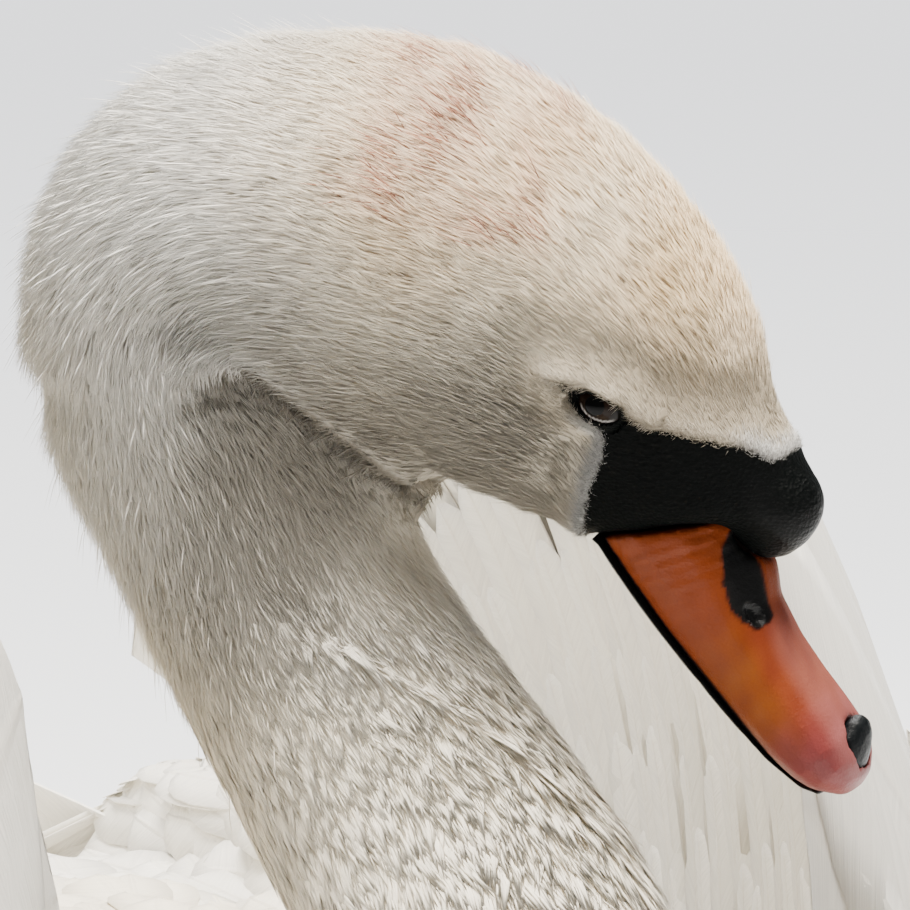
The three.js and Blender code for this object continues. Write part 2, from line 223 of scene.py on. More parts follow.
def fold_distance(places):
    """Millimetres below the fold between cheek and neck, and 1 where there is a fold."""
    left, ahead, up = head_frame(places)
    below = (np.interp(ahead, FOLD_LINE[:, 0], FOLD_LINE[:, 1]) - up) * FOLD_SLOPE
    near = smooth_step(-122, -106, ahead) * smooth_step(-50, -60, ahead) * (np.abs(left) < 50)
    return below, near


WHITE = np.array((0.90, 0.865, 0.79))
CREAM = np.array((0.86, 0.77, 0.60))
CROWN_STAIN = np.array((0.76, 0.565, 0.32))
CHEEK_PAINTED_SHADE = np.array((0.40, 0.355, 0.285))
RIM_GREY = np.array((0.50, 0.50, 0.49))
FOLD_PAINTED_SHADOW = np.array((0.30, 0.265, 0.21))
CREASE_PAINTED_SHADE = np.array((0.15, 0.13, 0.10))
BROW_TAN_AND_SHADE = np.array((0.45, 0.375, 0.265))
RUST = np.array((0.78, 0.46, 0.30))
# how far each mark, stain or painted shade, goes from the white of the feathers to its colour
CREAM_SHARE = 0.85
CROWN_SHARE = 0.68
FOREHEAD_SHARE = 0.95
CHEEK_SHADE_SHARE = 0.72
FOLD_SHADOW_SHARE = 0.6
CREASE_SHADE_SHARE = 0.75
RUST_SHARE = 0.30
BROW_TAN_SHADE_SHARE = 0.62
FOREHEAD_PAINTED_SHADE = 0.10


def plumage_colour(places):
    """Colour of the feathers at places on the bird, painted shade included, the same for skin and coat."""
    left, ahead, up = head_frame(places)
    colour = np.tile(WHITE, (len(places), 1))
    crown = smooth_step(-8, 34, up + 0.3 * ahead) * smooth_step(-120, -45, ahead)
    crown *= 0.75 + 0.25 * wave_noise(places, 0.05, 3)
    forehead = smooth_step(-4, 34, ahead) * smooth_step(-26, 4, up)
    stain = np.clip(CROWN_SHARE * crown + FOREHEAD_SHARE * forehead, 0, 0.95)
    near_head = smooth_step(80, 55, np.abs(left))
    down_neck = smooth_step(-40, -90, up) * smooth_step(-330, -250, up)
    creamy = smooth_step(-110, -50, ahead) * smooth_step(-90, -40, up)
    near_neck = smooth_step(150, 120, np.abs(left)) * smooth_step(-260, -200, ahead)
    creamy = np.maximum(creamy * near_head, 0.85 * down_neck * near_neck)
    colour += (CREAM - colour) * (CREAM_SHARE * creamy)[:, None]
    colour += (CROWN_STAIN - colour) * (stain * near_head)[:, None]
    below, near_fold = fold_distance(places)
    lit_throat = smooth_step(2, 12, below) * smooth_step(-84, -64, ahead)
    # painted shade greys the cheeks and the top of the neck, less where the throat is lit
    cheek = smooth_step(30, -12, up - 0.12 * ahead) * smooth_step(-100, -50, up)
    cheek = cheek * smooth_step(-150, -95, ahead)
    cheek = cheek * (1 - 0.85 * lit_throat)
    colour += (CHEEK_PAINTED_SHADE - colour) * (CHEEK_SHADE_SHARE * np.clip(cheek, 0, 1) * near_head)[:, None]
    # painted shadow on the neck under the cheek's overhang, fading where the throat is lit
    under = smooth_step(-0.5, 1.5, below) * smooth_step(55, 8, below) * near_fold * (1 - lit_throat)
    colour += (FOLD_PAINTED_SHADOW - colour) * (FOLD_SHADOW_SHARE * under)[:, None]
    # a painted dark line of shade in the crease along the fold
    crease = smooth_step(-1.2, 0.2, below) * smooth_step(5, 1.8, below) * near_fold
    colour += (CREASE_PAINTED_SHADE - colour) * (CREASE_SHADE_SHARE * crease)[:, None]
    rusty = smooth_step(38, 47, up + 0.25 * (ahead + 40)) * smooth_step(-76, -54, ahead)
    rusty = rusty * smooth_step(0, -22, ahead)
    blots = (1 + 0.8 * wave_noise(places, 0.02, 61)).clip(0, 1.6)
    colour += (RUST - colour) * (RUST_SHARE * rusty * blots)[:, None]
    bare = bare_depth(places)
    # tan along the mask's upper edge, partly stain and partly painted shade over the lit brow
    brow = smooth_step(-17, -3, bare) * smooth_step(-16, -9, up + 0.25 * ahead)
    colour += (BROW_TAN_AND_SHADE - colour) * (BROW_TAN_SHADE_SHARE * brow)[:, None]
    rim = smooth_step(-4.5, -0.8, bare)
    behind_mask = smooth_step(-2, -8, up) * smooth_step(10, 2, ahead)
    rim *= 0.10 + 0.70 * np.maximum(behind_mask, smooth_step(30, 42, ahead))
    colour += (RIM_GREY - colour) * rim[:, None]
    uneven = 0.035 * wave_noise(places, 0.03, 9)
    # random unevenness, and painted shade that darkens the forehead
    colour *= (1 + uneven - FOREHEAD_PAINTED_SHADE * forehead * near_head)[:, None]
    return np.clip(colour, 0.02, 0.95)


# ---- Skin ----------------------------------------------------------------------------------
# One skin covers head, knob, neck, trunk and the fleshy part of each wing. It lies a coat's
# depth inside the plumage's outline, and comes to the surface on the black bare mask and knob.


class Paint:
    """A socket in a material. Sums and products of these add the Math nodes they need."""

    def __init__(self, tree, socket=None):
        self.tree = tree
        self.socket = socket

    def node(self, kind, out=0, settings=(), **values):
        """Adds a node: its settings first, then values or links by socket name or number."""
        made = self.tree.nodes.new("ShaderNode" + kind)
        for name, value in dict(settings).items():
            setattr(made, name, value)
        for name, value in values.items():
            socket = made.inputs[int(name[1:]) if name[1:].isdigit() else name.replace("_", " ")]
            if isinstance(value, Paint):
                self.tree.links.new(value.socket, socket)
            else:
                socket.default_value = value
        return Paint(self.tree, made.outputs[out])

    def maths(self, operation, other, swap=False):
        first, second = (other, self) if swap else (self, other)
        return self.node("Math", settings={"operation": operation}, i0=first, i1=second)

    def __add__(self, other):
        return self.maths("ADD", other)

    __radd__ = __add__

    def __mul__(self, other):
        return self.maths("MULTIPLY", other)

    __rmul__ = __mul__

    def __sub__(self, other):
        return self.maths("SUBTRACT", other)

    def __rsub__(self, other):
        return self.maths("SUBTRACT", other, swap=True)

    def mix(self, colour, other):
        """Mixes two colours by this value."""
        return self.node("Mix", out=2, settings={"data_type": "RGBA"}, i0=self, i6=colour, i7=other)


def new_material(name):
    """An empty material with its shader, and a Paint to wire it with."""
    material = bpy.data.materials.new(name)
    material.use_nodes = True
    tree = material.node_tree
    return material, tree.nodes["Principled BSDF"], Paint(tree)


def join(paint, value, shader, socket):
    paint.tree.links.new(value.socket, shader.inputs[socket])


def object_place(paint):
    return paint.node("TexCoord", out="Object")


SKIN_VOXEL = 0.0041
SKIN_SMOOTHING = 9
FINE_MARGINS = (6.0, 3.0)  # millimetres round mask and fold where the faces are halved, twice
WING_SKIN = [f"wing_coverts_{side}" for side in ("left", "right")]
BACK_SKIN = ["trunk"] + [f"wing_scapulars_{side}" for side in ("left", "right")]
HEAD_SKIN = ["head", "neck_arch"]
NECK_SKIN = ["neck_upper", "neck_middle", "neck_lower"]
SKIN_NODES = HEAD_SKIN + ["knob"] + NECK_SKIN + BACK_SKIN + WING_SKIN
REGIONS = {"head": HEAD_SKIN + ["knob"], "neck": NECK_SKIN, "trunk": BACK_SKIN, "wing": WING_SKIN}
COAT_DEPTH = {"head": 0.0046, "neck": 0.0066, "trunk": 0.0085, "wing": 0.0045}
BARE_EDGE = 14.0  # millimetres from the mask over which the coat reaches its depth


def node_copy(names):
    """The nodes' surfaces in one bmesh, with their corners merged."""
    made = bmesh.new()
    for name in names:
        made.from_mesh(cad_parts[name].data)
    bmesh.ops.remove_doubles(made, verts=made.verts, dist=1e-6)
    return made


def finished(name, bm, smooth=True):
    """A new object from a bmesh, linked to the scene."""
    mesh = bpy.data.meshes.new(name)
    bm.to_mesh(mesh)
    bm.free()
    if smooth:
        mesh.shade_smooth()
    made = bpy.data.objects.new(name, mesh)
    bpy.context.scene.collection.objects.link(made)
    return made


def apply_modifiers(made):
    """Replaces the object's mesh by what its modifiers make of it."""
    graph = bpy.context.evaluated_depsgraph_get()
    mesh = bpy.data.meshes.new_from_object(made.evaluated_get(graph))
    made.modifiers.clear()
    made.data = mesh


def remeshed(name, nodes, voxel, rounds):
    """The nodes' surfaces as one even, smoothed skin."""
    made = finished(name, node_copy(nodes))
    remesh = made.modifiers.new("remesh", "REMESH")
    remesh.mode = "VOXEL"
    remesh.voxel_size = voxel
    relax = made.modifiers.new("relax", "SMOOTH")
    relax.factor = 0.5
    relax.iterations = rounds
    apply_modifiers(made)
    return made


def points_of(mesh, kind="co"):
    values = np.empty(len(mesh.vertices) * 3)
    if kind == "co":
        mesh.vertices.foreach_get("co", values)
    else:
        mesh.vertex_normals.foreach_get("vector", values)
    return values.reshape(-1, 3)


def set_points(mesh, points):
    mesh.vertices.foreach_set("co", np.ascontiguousarray(points).ravel())
    mesh.update()


skin = remeshed("skin", SKIN_NODES, SKIN_VOXEL, SKIN_SMOOTHING)

# finer faces on the mask, the lids, the knob and the fold
for margin in FINE_MARGINS:
    fine = bmesh.new()
    fine.from_mesh(skin.data)
    centres = np.array([face.calc_center_median() for face in fine.faces])
    below, near_fold = fold_distance(centres)
    chosen = (bare_depth(centres) > -margin) | ((np.abs(below - 1) < margin) & (near_fold > 0.05))
    edges = dict.fromkeys(edge for face, pick in zip(fine.faces, chosen) if pick for edge in face.edges)
    bmesh.ops.subdivide_edges(fine, edges=list(edges), cuts=1, use_grid_fill=True)
    fine.to_mesh(skin.data)
    fine.free()

skin_points = points_of(skin.data)
trees = {}
for region, nodes in REGIONS.items():
    copy = node_copy(nodes)
    trees[region] = BVHTree.FromBMesh(copy)
    copy.free()


def region_of(places):
    """The region whose surface is nearest each place."""
    names = list(trees)
    away = np.array([[trees[name].find_nearest(Vector(place))[3] for name in names] for place in places])
    return np.array(names)[away.argmin(1)]


skin_region = region_of(skin_points)
below_fold, near_fold = fold_distance(skin_points)
over_fold = (below_fold < 0) & (below_fold > -30) & (near_fold > 0.2)
skin_region[over_fold & (skin_region == "neck")] = "head"
skin_edges = np.array([edge.vertices[:] for edge in skin.data.edges])


def relaxed(values, rounds):
    """Values on the skin's corners, averaged over their neighbours again and again."""
    values = np.array(values, dtype=float)
    flat = values.reshape(len(values), -1)
    ends = np.r_[skin_edges, skin_edges[:, ::-1]]
    count = np.bincount(ends[:, 0], minlength=len(flat))[:, None]
    for _ in range(rounds):
        total = np.stack([np.bincount(ends[:, 0], column[ends[:, 1]], len(flat)) for column in flat.T], -1)
        flat = flat * 0.5 + 0.5 * total / np.maximum(count, 1)
    return flat.reshape(values.shape)


# the bare mask and knob are smoother than the rest
BARE_SMOOTHING = 8
skin_bare = bare_depth(skin_points)
smoother = relaxed(skin_points, BARE_SMOOTHING)
skin_points = skin_points + (smoother - skin_points) * smooth_step(-2, 1, skin_bare)[:, None]
set_points(skin.data, skin_points)
skin_normal = points_of(skin.data, "normal")

# the coat is thinner at the top of the neck, and there is none on the mask
depth = np.array([COAT_DEPTH[name] for name in skin_region])
high_neck = (skin_region == "neck") * smooth_step(-75, -40, head_frame(skin_points)[2])
depth -= (COAT_DEPTH["neck"] - COAT_DEPTH["head"]) * high_neck
depth = relaxed(depth, 30) * smooth_step(0, BARE_EDGE, -skin_bare) ** 0.8

# the cheek stands out over the fold, and the neck lies in under it
left, ahead, up = head_frame(skin_points)
neck_side = (skin_region == "neck") * (np.abs(left) < 50) * smooth_step(-122, -106, ahead)
fold_push = FOLD_IN * smooth_step(-0.2, 1.9, below_fold) * smooth_step(*FOLD_FADES, below_fold) * neck_side
fold_push -= FOLD_OUT * smooth_step(22, 1, -below_fold) * smooth_step(1.9, -0.2, below_fold) * near_fold
depth += fold_push / 1000

# where the belly rests on the floor its coat is pressed thin
depth *= 1 - 0.8 * smooth_step(-0.5, -0.9, skin_normal[:, 2]) * (skin_points[:, 2] < 0.03)
skin_points = skin_points - skin_normal * depth[:, None]


# ---- Eyelids -------------------------------------------------------------------------------
# Each eye looks out of a slanting slit. The skin dips into a socket inside the slit and wraps
# the eyeball as a thin lid round it.

LID_MIDDLE = (0.6, -1.1)  # ahead of and above the eye's middle, millimetres
LID_HALF = (6.0, 3.1)
LID_TILT = math.radians(-26)
LID_THICK = 0.8
BROW_RISE = 2.3
SOCKET_DEEP = 1.0  # inwards from the ball's middle
RIM_WIDE = 1.55  # how far out the lids' bare rims reach, in half widths of the slit
RIM_EDGE = 13  # millimetres of bare depth for each half width
eye_low, eye_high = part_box("eye_left")
EYE_RADIUS = (eye_high.z - eye_low.z) / 2 * 1000


def slit_places(places):
    """Along and above the slit between the lids, in millimetres."""
    left, ahead, up = head_frame(places)
    ahead = ahead - LID_MIDDLE[0]
    up = up - LID_MIDDLE[1]
    return (ahead * math.cos(LID_TILT) + up * math.sin(LID_TILT),
            up * math.cos(LID_TILT) - ahead * math.sin(LID_TILT))


def slit_radius(places):
    """0 in the middle of the slit and 1 on its edge."""
    along, above = slit_places(places)
    return np.hypot(along / LID_HALF[0], above / LID_HALF[1])


# outside the slit the lid wraps the ball, the brow stands over it, and in the slit the skin sinks
left, ahead, up = head_frame(skin_points)
eye_left_side = abs(head_frame([EYES[1]])[0][0])
slit_up = slit_places(skin_points)[1]
slit = slit_radius(skin_points)
from_eye = np.hypot(ahead, up)
lid_radius = EYE_RADIUS + LID_THICK
ball_side = eye_left_side + np.sqrt(np.clip(lid_radius ** 2 - from_eye ** 2, 0, None))
side = np.abs(left)
near_eye = (side > 12) & (from_eye < 17)
lid = smooth_step(2.0, 1.05, slit) * near_eye * (from_eye < lid_radius)
side_new = side + (ball_side - side) * lid
covers = near_eye & (from_eye < lid_radius)
side_new = np.where(covers, np.maximum(side_new, ball_side), side_new)
brow = smooth_step(1.0, 1.7, slit) * smooth_step(4.2, 2.2, slit) * smooth_step(0.3, 2.6, slit_up)
side_new += BROW_RISE * (brow * near_eye)
in_slit = smooth_step(1.04, 0.9, slit) * near_eye
side_new += (eye_left_side - SOCKET_DEEP - side_new) * in_slit
skin_points += np.array(TO_LEFT) * (np.sign(left) * (side_new - side) / 1000)[:, None]
set_points(skin.data, skin_points)

# the lids' rims are bare too
skin_bare = np.maximum(skin_bare, np.where(near_eye, (RIM_WIDE - slit) * RIM_EDGE, -60))
skin_points = points_of(skin.data)
skin_normal = points_of(skin.data, "normal")
skin_tone = plumage_colour(skin_points)
BARE_BLACK = np.array((0.0020, 0.0028, 0.0026))
ragged = skin_bare + 0.5 * wave_noise(skin_points, 0.003, 21)
bare_share = smooth_step(-0.55, 0.35, ragged)
skin_tone += (BARE_BLACK - skin_tone) * bare_share[:, None]


def paint_points(mesh, name, values):
    """Stores a colour or a number for each corner of a mesh."""
    values = np.asarray(values, dtype=float)
    if values.ndim == 1:
        layer = mesh.attributes.new(name, "FLOAT", "POINT")
        layer.data.foreach_set("value", values)
    else:
        layer = mesh.attributes.new(name, "FLOAT_COLOR", "POINT")
        layer.data.foreach_set("color", np.c_[values, np.ones(len(values))].ravel())


paint_points(skin.data, "tone", skin_tone)
paint_points(skin.data, "bare", bare_share)
left, ahead, up = head_frame(skin_points)
paint_points(skin.data, "gloss", bare_share * smooth_step(34, 46, ahead))

skin_finish, shader, paint = new_material("swan_skin")
tone = paint.node("Attribute", settings={"attribute_name": "tone"})
bare = paint.node("Attribute", out="Fac", settings={"attribute_name": "bare"})
place = object_place(paint)
pebble = paint.node("TexVoronoi", settings={"feature": "F1"}, Vector=place, Scale=900.0)
wrinkle_place = paint.node("Mapping", Vector=place, Scale=(1.0, 1.0, 4.5))
crease = paint.node("TexNoise", Vector=wrinkle_place, Scale=260.0, Detail=6.0, Roughness=0.6)
gloss = paint.node("Attribute", out="Fac", settings={"attribute_name": "gloss"})
join(paint, tone, shader, "Base Color")
join(paint, 0.85 - bare * 0.25 - gloss * 0.22 + crease * bare * 0.12, shader, "Roughness")
join(paint, gloss * 0.10, shader, "Coat Weight")
shader.inputs["Coat Roughness"].default_value = 0.20
shader.inputs["Specular IOR Level"].default_value = 0.06
relief = paint.node("Bump", Strength=0.8, Distance=0.0007, Height=(pebble * 0.7 + crease) * bare)
join(paint, relief, shader, "Normal")
skin.data.materials.append(skin_finish)
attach(skin, "root")
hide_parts(*SKIN_NODES)


# ---- Eyes ----------------------------------------------------------------------------------
# Each eye is a dark brown ball under a clear, wet cornea, with a round black pupil, and a pale highlight
# painted on it along the lower lid's wet rim.

PUPIL = 2.6  # half width, millimetres
IRIS = 4.6
CORNEA_BULGE = 0.05  # share of the ball's radius
# the shine of the lower lid's wet rim is a highlight painted into the eyeball's colour
GLINT_AT = 0.84  # share of the slit's half width where the wet rim of the lower lid shines

for side_name, side_sign in (("left", 1), ("right", -1)):
    middle = np.array(EYES[side_sign])
    ball = bmesh.new()
    bmesh.ops.create_icosphere(ball, subdivisions=5, radius=EYE_RADIUS / 1000)
    for corner in ball.verts:
        out = corner.co.normalized().dot(TO_LEFT * side_sign)
        corner.co *= 1 + CORNEA_BULGE * float(smooth_step(0.86, 0.97, out))
    bmesh.ops.translate(ball, verts=ball.verts, vec=EYES[side_sign])
    eye = finished(f"eyeball_{side_name}", ball)
    spread = points_of(eye.data) - middle
    outward = spread @ np.array(TO_LEFT) * side_sign
    from_axis = np.sqrt(np.clip((spread ** 2).sum(1) - outward ** 2, 0, None)) * 1000
    paint_points(eye.data, "from_axis", np.where(outward > 0, from_axis, 9.0))
    ball_points = points_of(eye.data)
    # painted highlight: a pale crescent on the ball along the lower lid
    glint_distance = np.abs(slit_radius(ball_points) - GLINT_AT)
    low = smooth_step(-0.6, -1.8, slit_places(ball_points)[1])
    paint_points(eye.data, "painted_glint", smooth_step(0.09, 0.02, glint_distance) * low)

    eye_finish, shader, paint = new_material(f"eye_{side_name}")
    ring = paint.node("Attribute", out="Fac", settings={"attribute_name": "from_axis"})
    fibre = paint.node("TexNoise", Vector=object_place(paint), Scale=2500.0, Detail=3.0)
    iris_colour = fibre.mix((0.007, 0.004, 0.003, 1), (0.020, 0.010, 0.006, 1))
    in_pupil = ring.node("MapRange", i0=ring, i1=PUPIL, i2=PUPIL + 0.3, i3=1.0, i4=0.0)
    in_white = ring.node("MapRange", i0=ring, i1=IRIS, i2=IRIS + 0.6)
    painted_glint = paint.node("Attribute", out="Fac", settings={"attribute_name": "painted_glint"})
    colour = in_pupil.mix(in_white.mix(iris_colour, (0.012, 0.010, 0.009, 1)), (0.002, 0.002, 0.002, 1))
    colour = painted_glint.mix(colour, (0.42, 0.40, 0.38, 1))
    join(paint, colour, shader, "Base Color")
    shader.inputs["Roughness"].default_value = 0.04
    shader.inputs["Specular IOR Level"].default_value = 0.10
    eye.data.materials.append(eye_finish)
    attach(eye, "root")
    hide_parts(f"eye_{side_name}")


# ---- Bill ----------------------------------------------------------------------------------
# A horny sheath over bone: orange above, redder along its ridge and rosy at its end, with a
# black nail, a black edge, a black patch round each nostril, and a thin black lower half.

BILL_PITCH = math.radians(54)


def bill_frame(places):
    """Left of, along and above the bill's own axis, in millimetres from between the eyes."""
    left, ahead, up = head_frame(places)
    along = ahead * math.cos(BILL_PITCH) - up * math.sin(BILL_PITCH)
    above = ahead * math.sin(BILL_PITCH) + up * math.cos(BILL_PITCH)
    return left, along, above


def move_points(made, change):
    """Moves a finished mesh along its normals by millimetres worked out for each corner."""
    points = points_of(made.data)
    normal = points_of(made.data, "normal")
    set_points(made.data, points + normal * (change(points) / 1000)[:, None])


BILL_VOXEL = 0.0009
BILL_SMOOTHING = 16
bill = remeshed("bill_sheath", ["bill_upper"], BILL_VOXEL, BILL_SMOOTHING)
NOSTRIL = (69.4, -3.2)  # along and above, millimetres
NOSTRIL_HALF = (3.3, 1.3)
# black patch round each nostril, from under the knob, along and above
NOSTRIL_PATCH = np.array([
    (50, 0.6), (42, 10), (44, 20), (54, 20), (58, 12), (63, 7.2), (69.2, 3.0), (73.6, -2.0), (72.8, -5.0),
    (65.5, -6.8), (58, -4.2)])


def top_along(along, above, count):
    """The height of a bill half's upper edge over each place along it."""
    steps = np.linspace(along.min(), along.max(), count)
    step = np.searchsorted(steps, along).clip(1, count - 1)
    tops = np.array([above[step == k].max() if (step == k).any() else 0 for k in range(count)])
    return np.interp(along, steps, tops)


def bill_relief(places):
    """Millimetres outwards: the nostrils' slots, soft folds at the root and the saddle."""
    left, along, above = bill_frame(places)
    slot = np.hypot((along - NOSTRIL[0]) / NOSTRIL_HALF[0], (above - NOSTRIL[1]) / NOSTRIL_HALF[1])
    on_side = np.abs(left) > 3
    dip = -1.3 * smooth_step(1.25, 0.5, slot) * on_side
    folds = 0.22 * wave_noise(places * (1, 1, 2.4), 0.007, 31) * smooth_step(66, 42, along)
    saddle = 2.2 * smooth_step(50, 58, along) * smooth_step(90, 74, along) * smooth_step(9, 4, np.abs(left))
    return dip + folds + saddle * smooth_step(-2, 3, above)


move_points(bill, bill_relief)
ORANGE = np.array((0.235, 0.041, 0.006))
AMBER = np.array((0.285, 0.070, 0.007))
RED = np.array((0.235, 0.029, 0.019))
ROSE = np.array((0.225, 0.045, 0.045))
RIDGE_PAINTED_SHEEN = np.array((0.52, 0.24, 0.22))
SOFT_BLACK = np.array((0.0020, 0.0022, 0.0024))


def bill_colour(places):
    """Colour of the bill's sheath by place."""
    left, along, above = bill_frame(places)
    under_ridge = top_along(along, above, 50) - above
    mottle = wave_noise(places, 0.009, 41)
    colour = np.tile(ORANGE, (len(places), 1))

    def toward(shade, share):
        nonlocal colour
        colour = colour + (shade - colour) * np.clip(share, 0, 1)[:, None]

    toward(AMBER, smooth_step(62, 84, along) * smooth_step(112, 92, along) * (0.75 + 0.3 * mottle))
    toward(RED, smooth_step(10, 5, under_ridge) * smooth_step(64, 76, along) * 0.5)
    toward(RED, smooth_step(8, -2, above + 26 - 0.1 * (along - 60)) * 0.35)
    toward(ROSE, smooth_step(92, 112, along + 3 * mottle) * 0.92)
    # painted highlight: a pale rose sheen along the top of the ridge
    toward(RIDGE_PAINTED_SHEEN, smooth_step(4.5, 1.0, under_ridge) * smooth_step(66, 80, along) * 0.24)
    patch = inside_outline(NOSTRIL_PATCH, along, above) + 0.35 * wave_noise(places, 0.004, 43)
    toward(SOFT_BLACK, smooth_step(-0.35, 0.35, patch) * smooth_step(5.2, 6.2, np.abs(left)))
    toward(SOFT_BLACK, smooth_step(-24.0, -25.2, above - 0.085 * np.clip(along - 60, 0, 70)))
    return colour * (1 + 0.06 * mottle)[:, None]


paint_points(bill.data, "tone", np.clip(bill_colour(points_of(bill.data)), 0.004, 0.95))


def horn_finish(name, roughness, scale, strength, shine=0.25):
    """Satin horn that takes its colour from the mesh, with fine pits and growth lines."""
    material, shader, paint = new_material(name)
    place = object_place(paint)
    tone = paint.node("Attribute", settings={"attribute_name": "tone"})
    fleck = paint.node("TexNoise", Vector=place, Scale=scale * 2.2, Detail=5.0, Roughness=0.65)
    pits = paint.node("TexVoronoi", Vector=place, Scale=scale)
    speck = fleck.node("MapRange", i0=fleck, i1=0.35, i2=0.75)
    darker = paint.node("Mix", out=2, settings={"data_type": "RGBA", "blend_type": "MULTIPLY"},
                        i0=speck * 0.35, i6=tone, i7=(0.62, 0.5, 0.5, 1))
    join(paint, darker, shader, "Base Color")
    join(paint, roughness + fleck * 0.22 - 0.1, shader, "Roughness")
    relief = paint.node("Bump", Strength=strength, Distance=0.0004, Height=pits * 0.5 + fleck)
    join(paint, relief, shader, "Normal")
    shader.inputs["Specular IOR Level"].default_value = shine
    return material


bill.data.materials.append(horn_finish("bill_horn", 0.36, 900.0, 0.35))
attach(bill, "root")
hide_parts("bill_upper")

LOWER_SHARE = 0.40  # the closed lower half shows as a thin edge
LOWER_NARROWER = 0.05
ABOVE_BILL = np.array(AHEAD) * math.sin(BILL_PITCH) + np.array(UP) * math.cos(BILL_PITCH)
# name, node, voxel, rounds of smoothing, colour
BLACK_HORN = (("bill_lower_half", "bill_lower", 0.0008, 8, (0.006, 0.006, 0.006)),
              ("nail", "bill_nail", 0.0005, 10, (0.005, 0.0065, 0.0075)))
for name, node, voxel, rounds, shade in BLACK_HORN:
    piece = remeshed(name, [node], voxel, rounds)
    if node == "bill_lower":
        points = points_of(piece.data)
        left, along, above = bill_frame(points)
        fall = (top_along(along, above, 40) - above).clip(0) * (1 - LOWER_SHARE)
        set_points(piece.data, points + (fall / 1000)[:, None] * ABOVE_BILL
                   - (left * LOWER_NARROWER / 1000)[:, None] * np.array(TO_LEFT))
    paint_points(piece.data, "tone", np.tile(np.array(shade), (len(piece.data.vertices), 1)))
    piece.data.materials.append(horn_finish(name + "_horn", 0.36, 1100.0, 0.5, shine=0.15))
    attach(piece, "root")
    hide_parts(node)


# ---- Legs and feet -------------------------------------------------------------------------
# Grey-black scaly skin. The tarsus lies on the floor, with the webbed toes spread in front.

leg_finish, shader, paint = new_material("leg_skin")
place = object_place(paint)
plates = paint.node("TexVoronoi", settings={"feature": "DISTANCE_TO_EDGE"}, Vector=place, Scale=330.0)
grain = paint.node("TexNoise", Vector=place, Scale=120.0, Detail=5.0)
join(paint, grain.mix((0.018, 0.018, 0.020, 1), (0.060, 0.060, 0.064, 1)), shader, "Base Color")
join(paint, 0.5 + grain * 0.2, shader, "Roughness")
edges_up = plates.node("MapRange", i0=plates, i1=0.0, i2=0.18)
relief = paint.node("Bump", Strength=0.8, Distance=0.0008, Height=edges_up + grain * 0.4)
join(paint, relief, shader, "Normal")

FOOT_VOXEL = 0.0018
FOOT_SMOOTHING = 2
for side_name in ("left", "right"):
    foot_nodes = [f"leg_{side_name}", f"foot_{side_name}"]
    foot = remeshed(f"webbed_foot_{side_name}", foot_nodes, FOOT_VOXEL, FOOT_SMOOTHING)
    foot.data.materials.append(leg_finish)
    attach(foot, "root")
    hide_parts(*foot_nodes)


# ---- Fine coat of the head and neck --------------------------------------------------------
# Hair-like feathers lie back from the bill over head, arch and neck. They are shortest round
# the mask, and stand out a little along the nape. Each is a thin, closed, bent blade.

ROOT_SINK = 0.0004  # how deep the blades' roots lie in the skin, metres
PATCH = 0.003  # side of a tuft's patch on the unwrap
LINE_OF = {"head": "head", "neck": "neck", "trunk": "trunk", "wing": "trunk"}
TURN_FROM = {"head": np.array(TO_LEFT), "neck": np.array((1.0, 0, 0)), "trunk": np.array((1.0, 0, 0))}
# each region of the skin is unrolled round its own line, in its own quarter of the unwrap
UNWRAP_CORNER = {"head": (0.01, 0.51), "neck": (0.51, 0.51), "trunk": (0.01, 0.01), "wing": (0.51, 0.01)}
UNWRAP_SIDE = 0.46

skin.data.calc_loop_triangles()
skin_faces = np.empty(len(skin.data.loop_triangles) * 3, dtype=int)
skin.data.loop_triangles.foreach_get("vertices", skin_faces)
skin_faces = skin_faces.reshape(-1, 3)
first, second, third = (skin_points[skin_faces[:, k]] for k in range(3))
skin_area = np.linalg.norm(np.cross(second - first, third - first), axis=1) / 2

skin_lie = np.zeros_like(skin_points)
skin_turn = np.zeros(len(skin_points))
skin_run = np.zeros(len(skin_points))
for region, line in LINE_OF.items():
    here = skin_region == region
    points, along, length = LINES[line]
    step = along_line(line, skin_points[here])
    skin_lie[here] = along[step]
    away = skin_points[here] - points[step]
    side_way = TURN_FROM[line]
    turn = np.arctan2((away * np.cross(along[step], side_way)).sum(1), away @ side_way)
    skin_turn[here] = turn / (2 * math.pi) + 0.5
    skin_run[here] = length[step] / length[-1]

# on the wings the feathers point up and back
on_wing = skin_region == "wing"
wing_low, wing_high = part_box("wing_coverts_left")
wing_part = (skin_points[:, 1] - wing_low.y) / (wing_high.y - wing_low.y)
wing_lie = np.stack([0 * wing_part, 0.3 + 0.5 * wing_part, 0.95 - 0.35 * wing_part], -1)
skin_lie[on_wing] = wing_lie[on_wing]
# the lie turns softly from region to region, but sharply at the fold
sharp_lie = relaxed(unit(skin_lie), 5)
skin_lie = relaxed(unit(skin_lie), 25)
at_fold = (near_fold * smooth_step(9, 4, np.abs(below_fold)))[:, None]
skin_lie = unit(skin_lie + (sharp_lie - skin_lie) * at_fold)


def tangent(ways, normal):
    """The ways laid flat on the surface."""
    return unit(ways - normal * (ways * normal).sum(-1, keepdims=True))


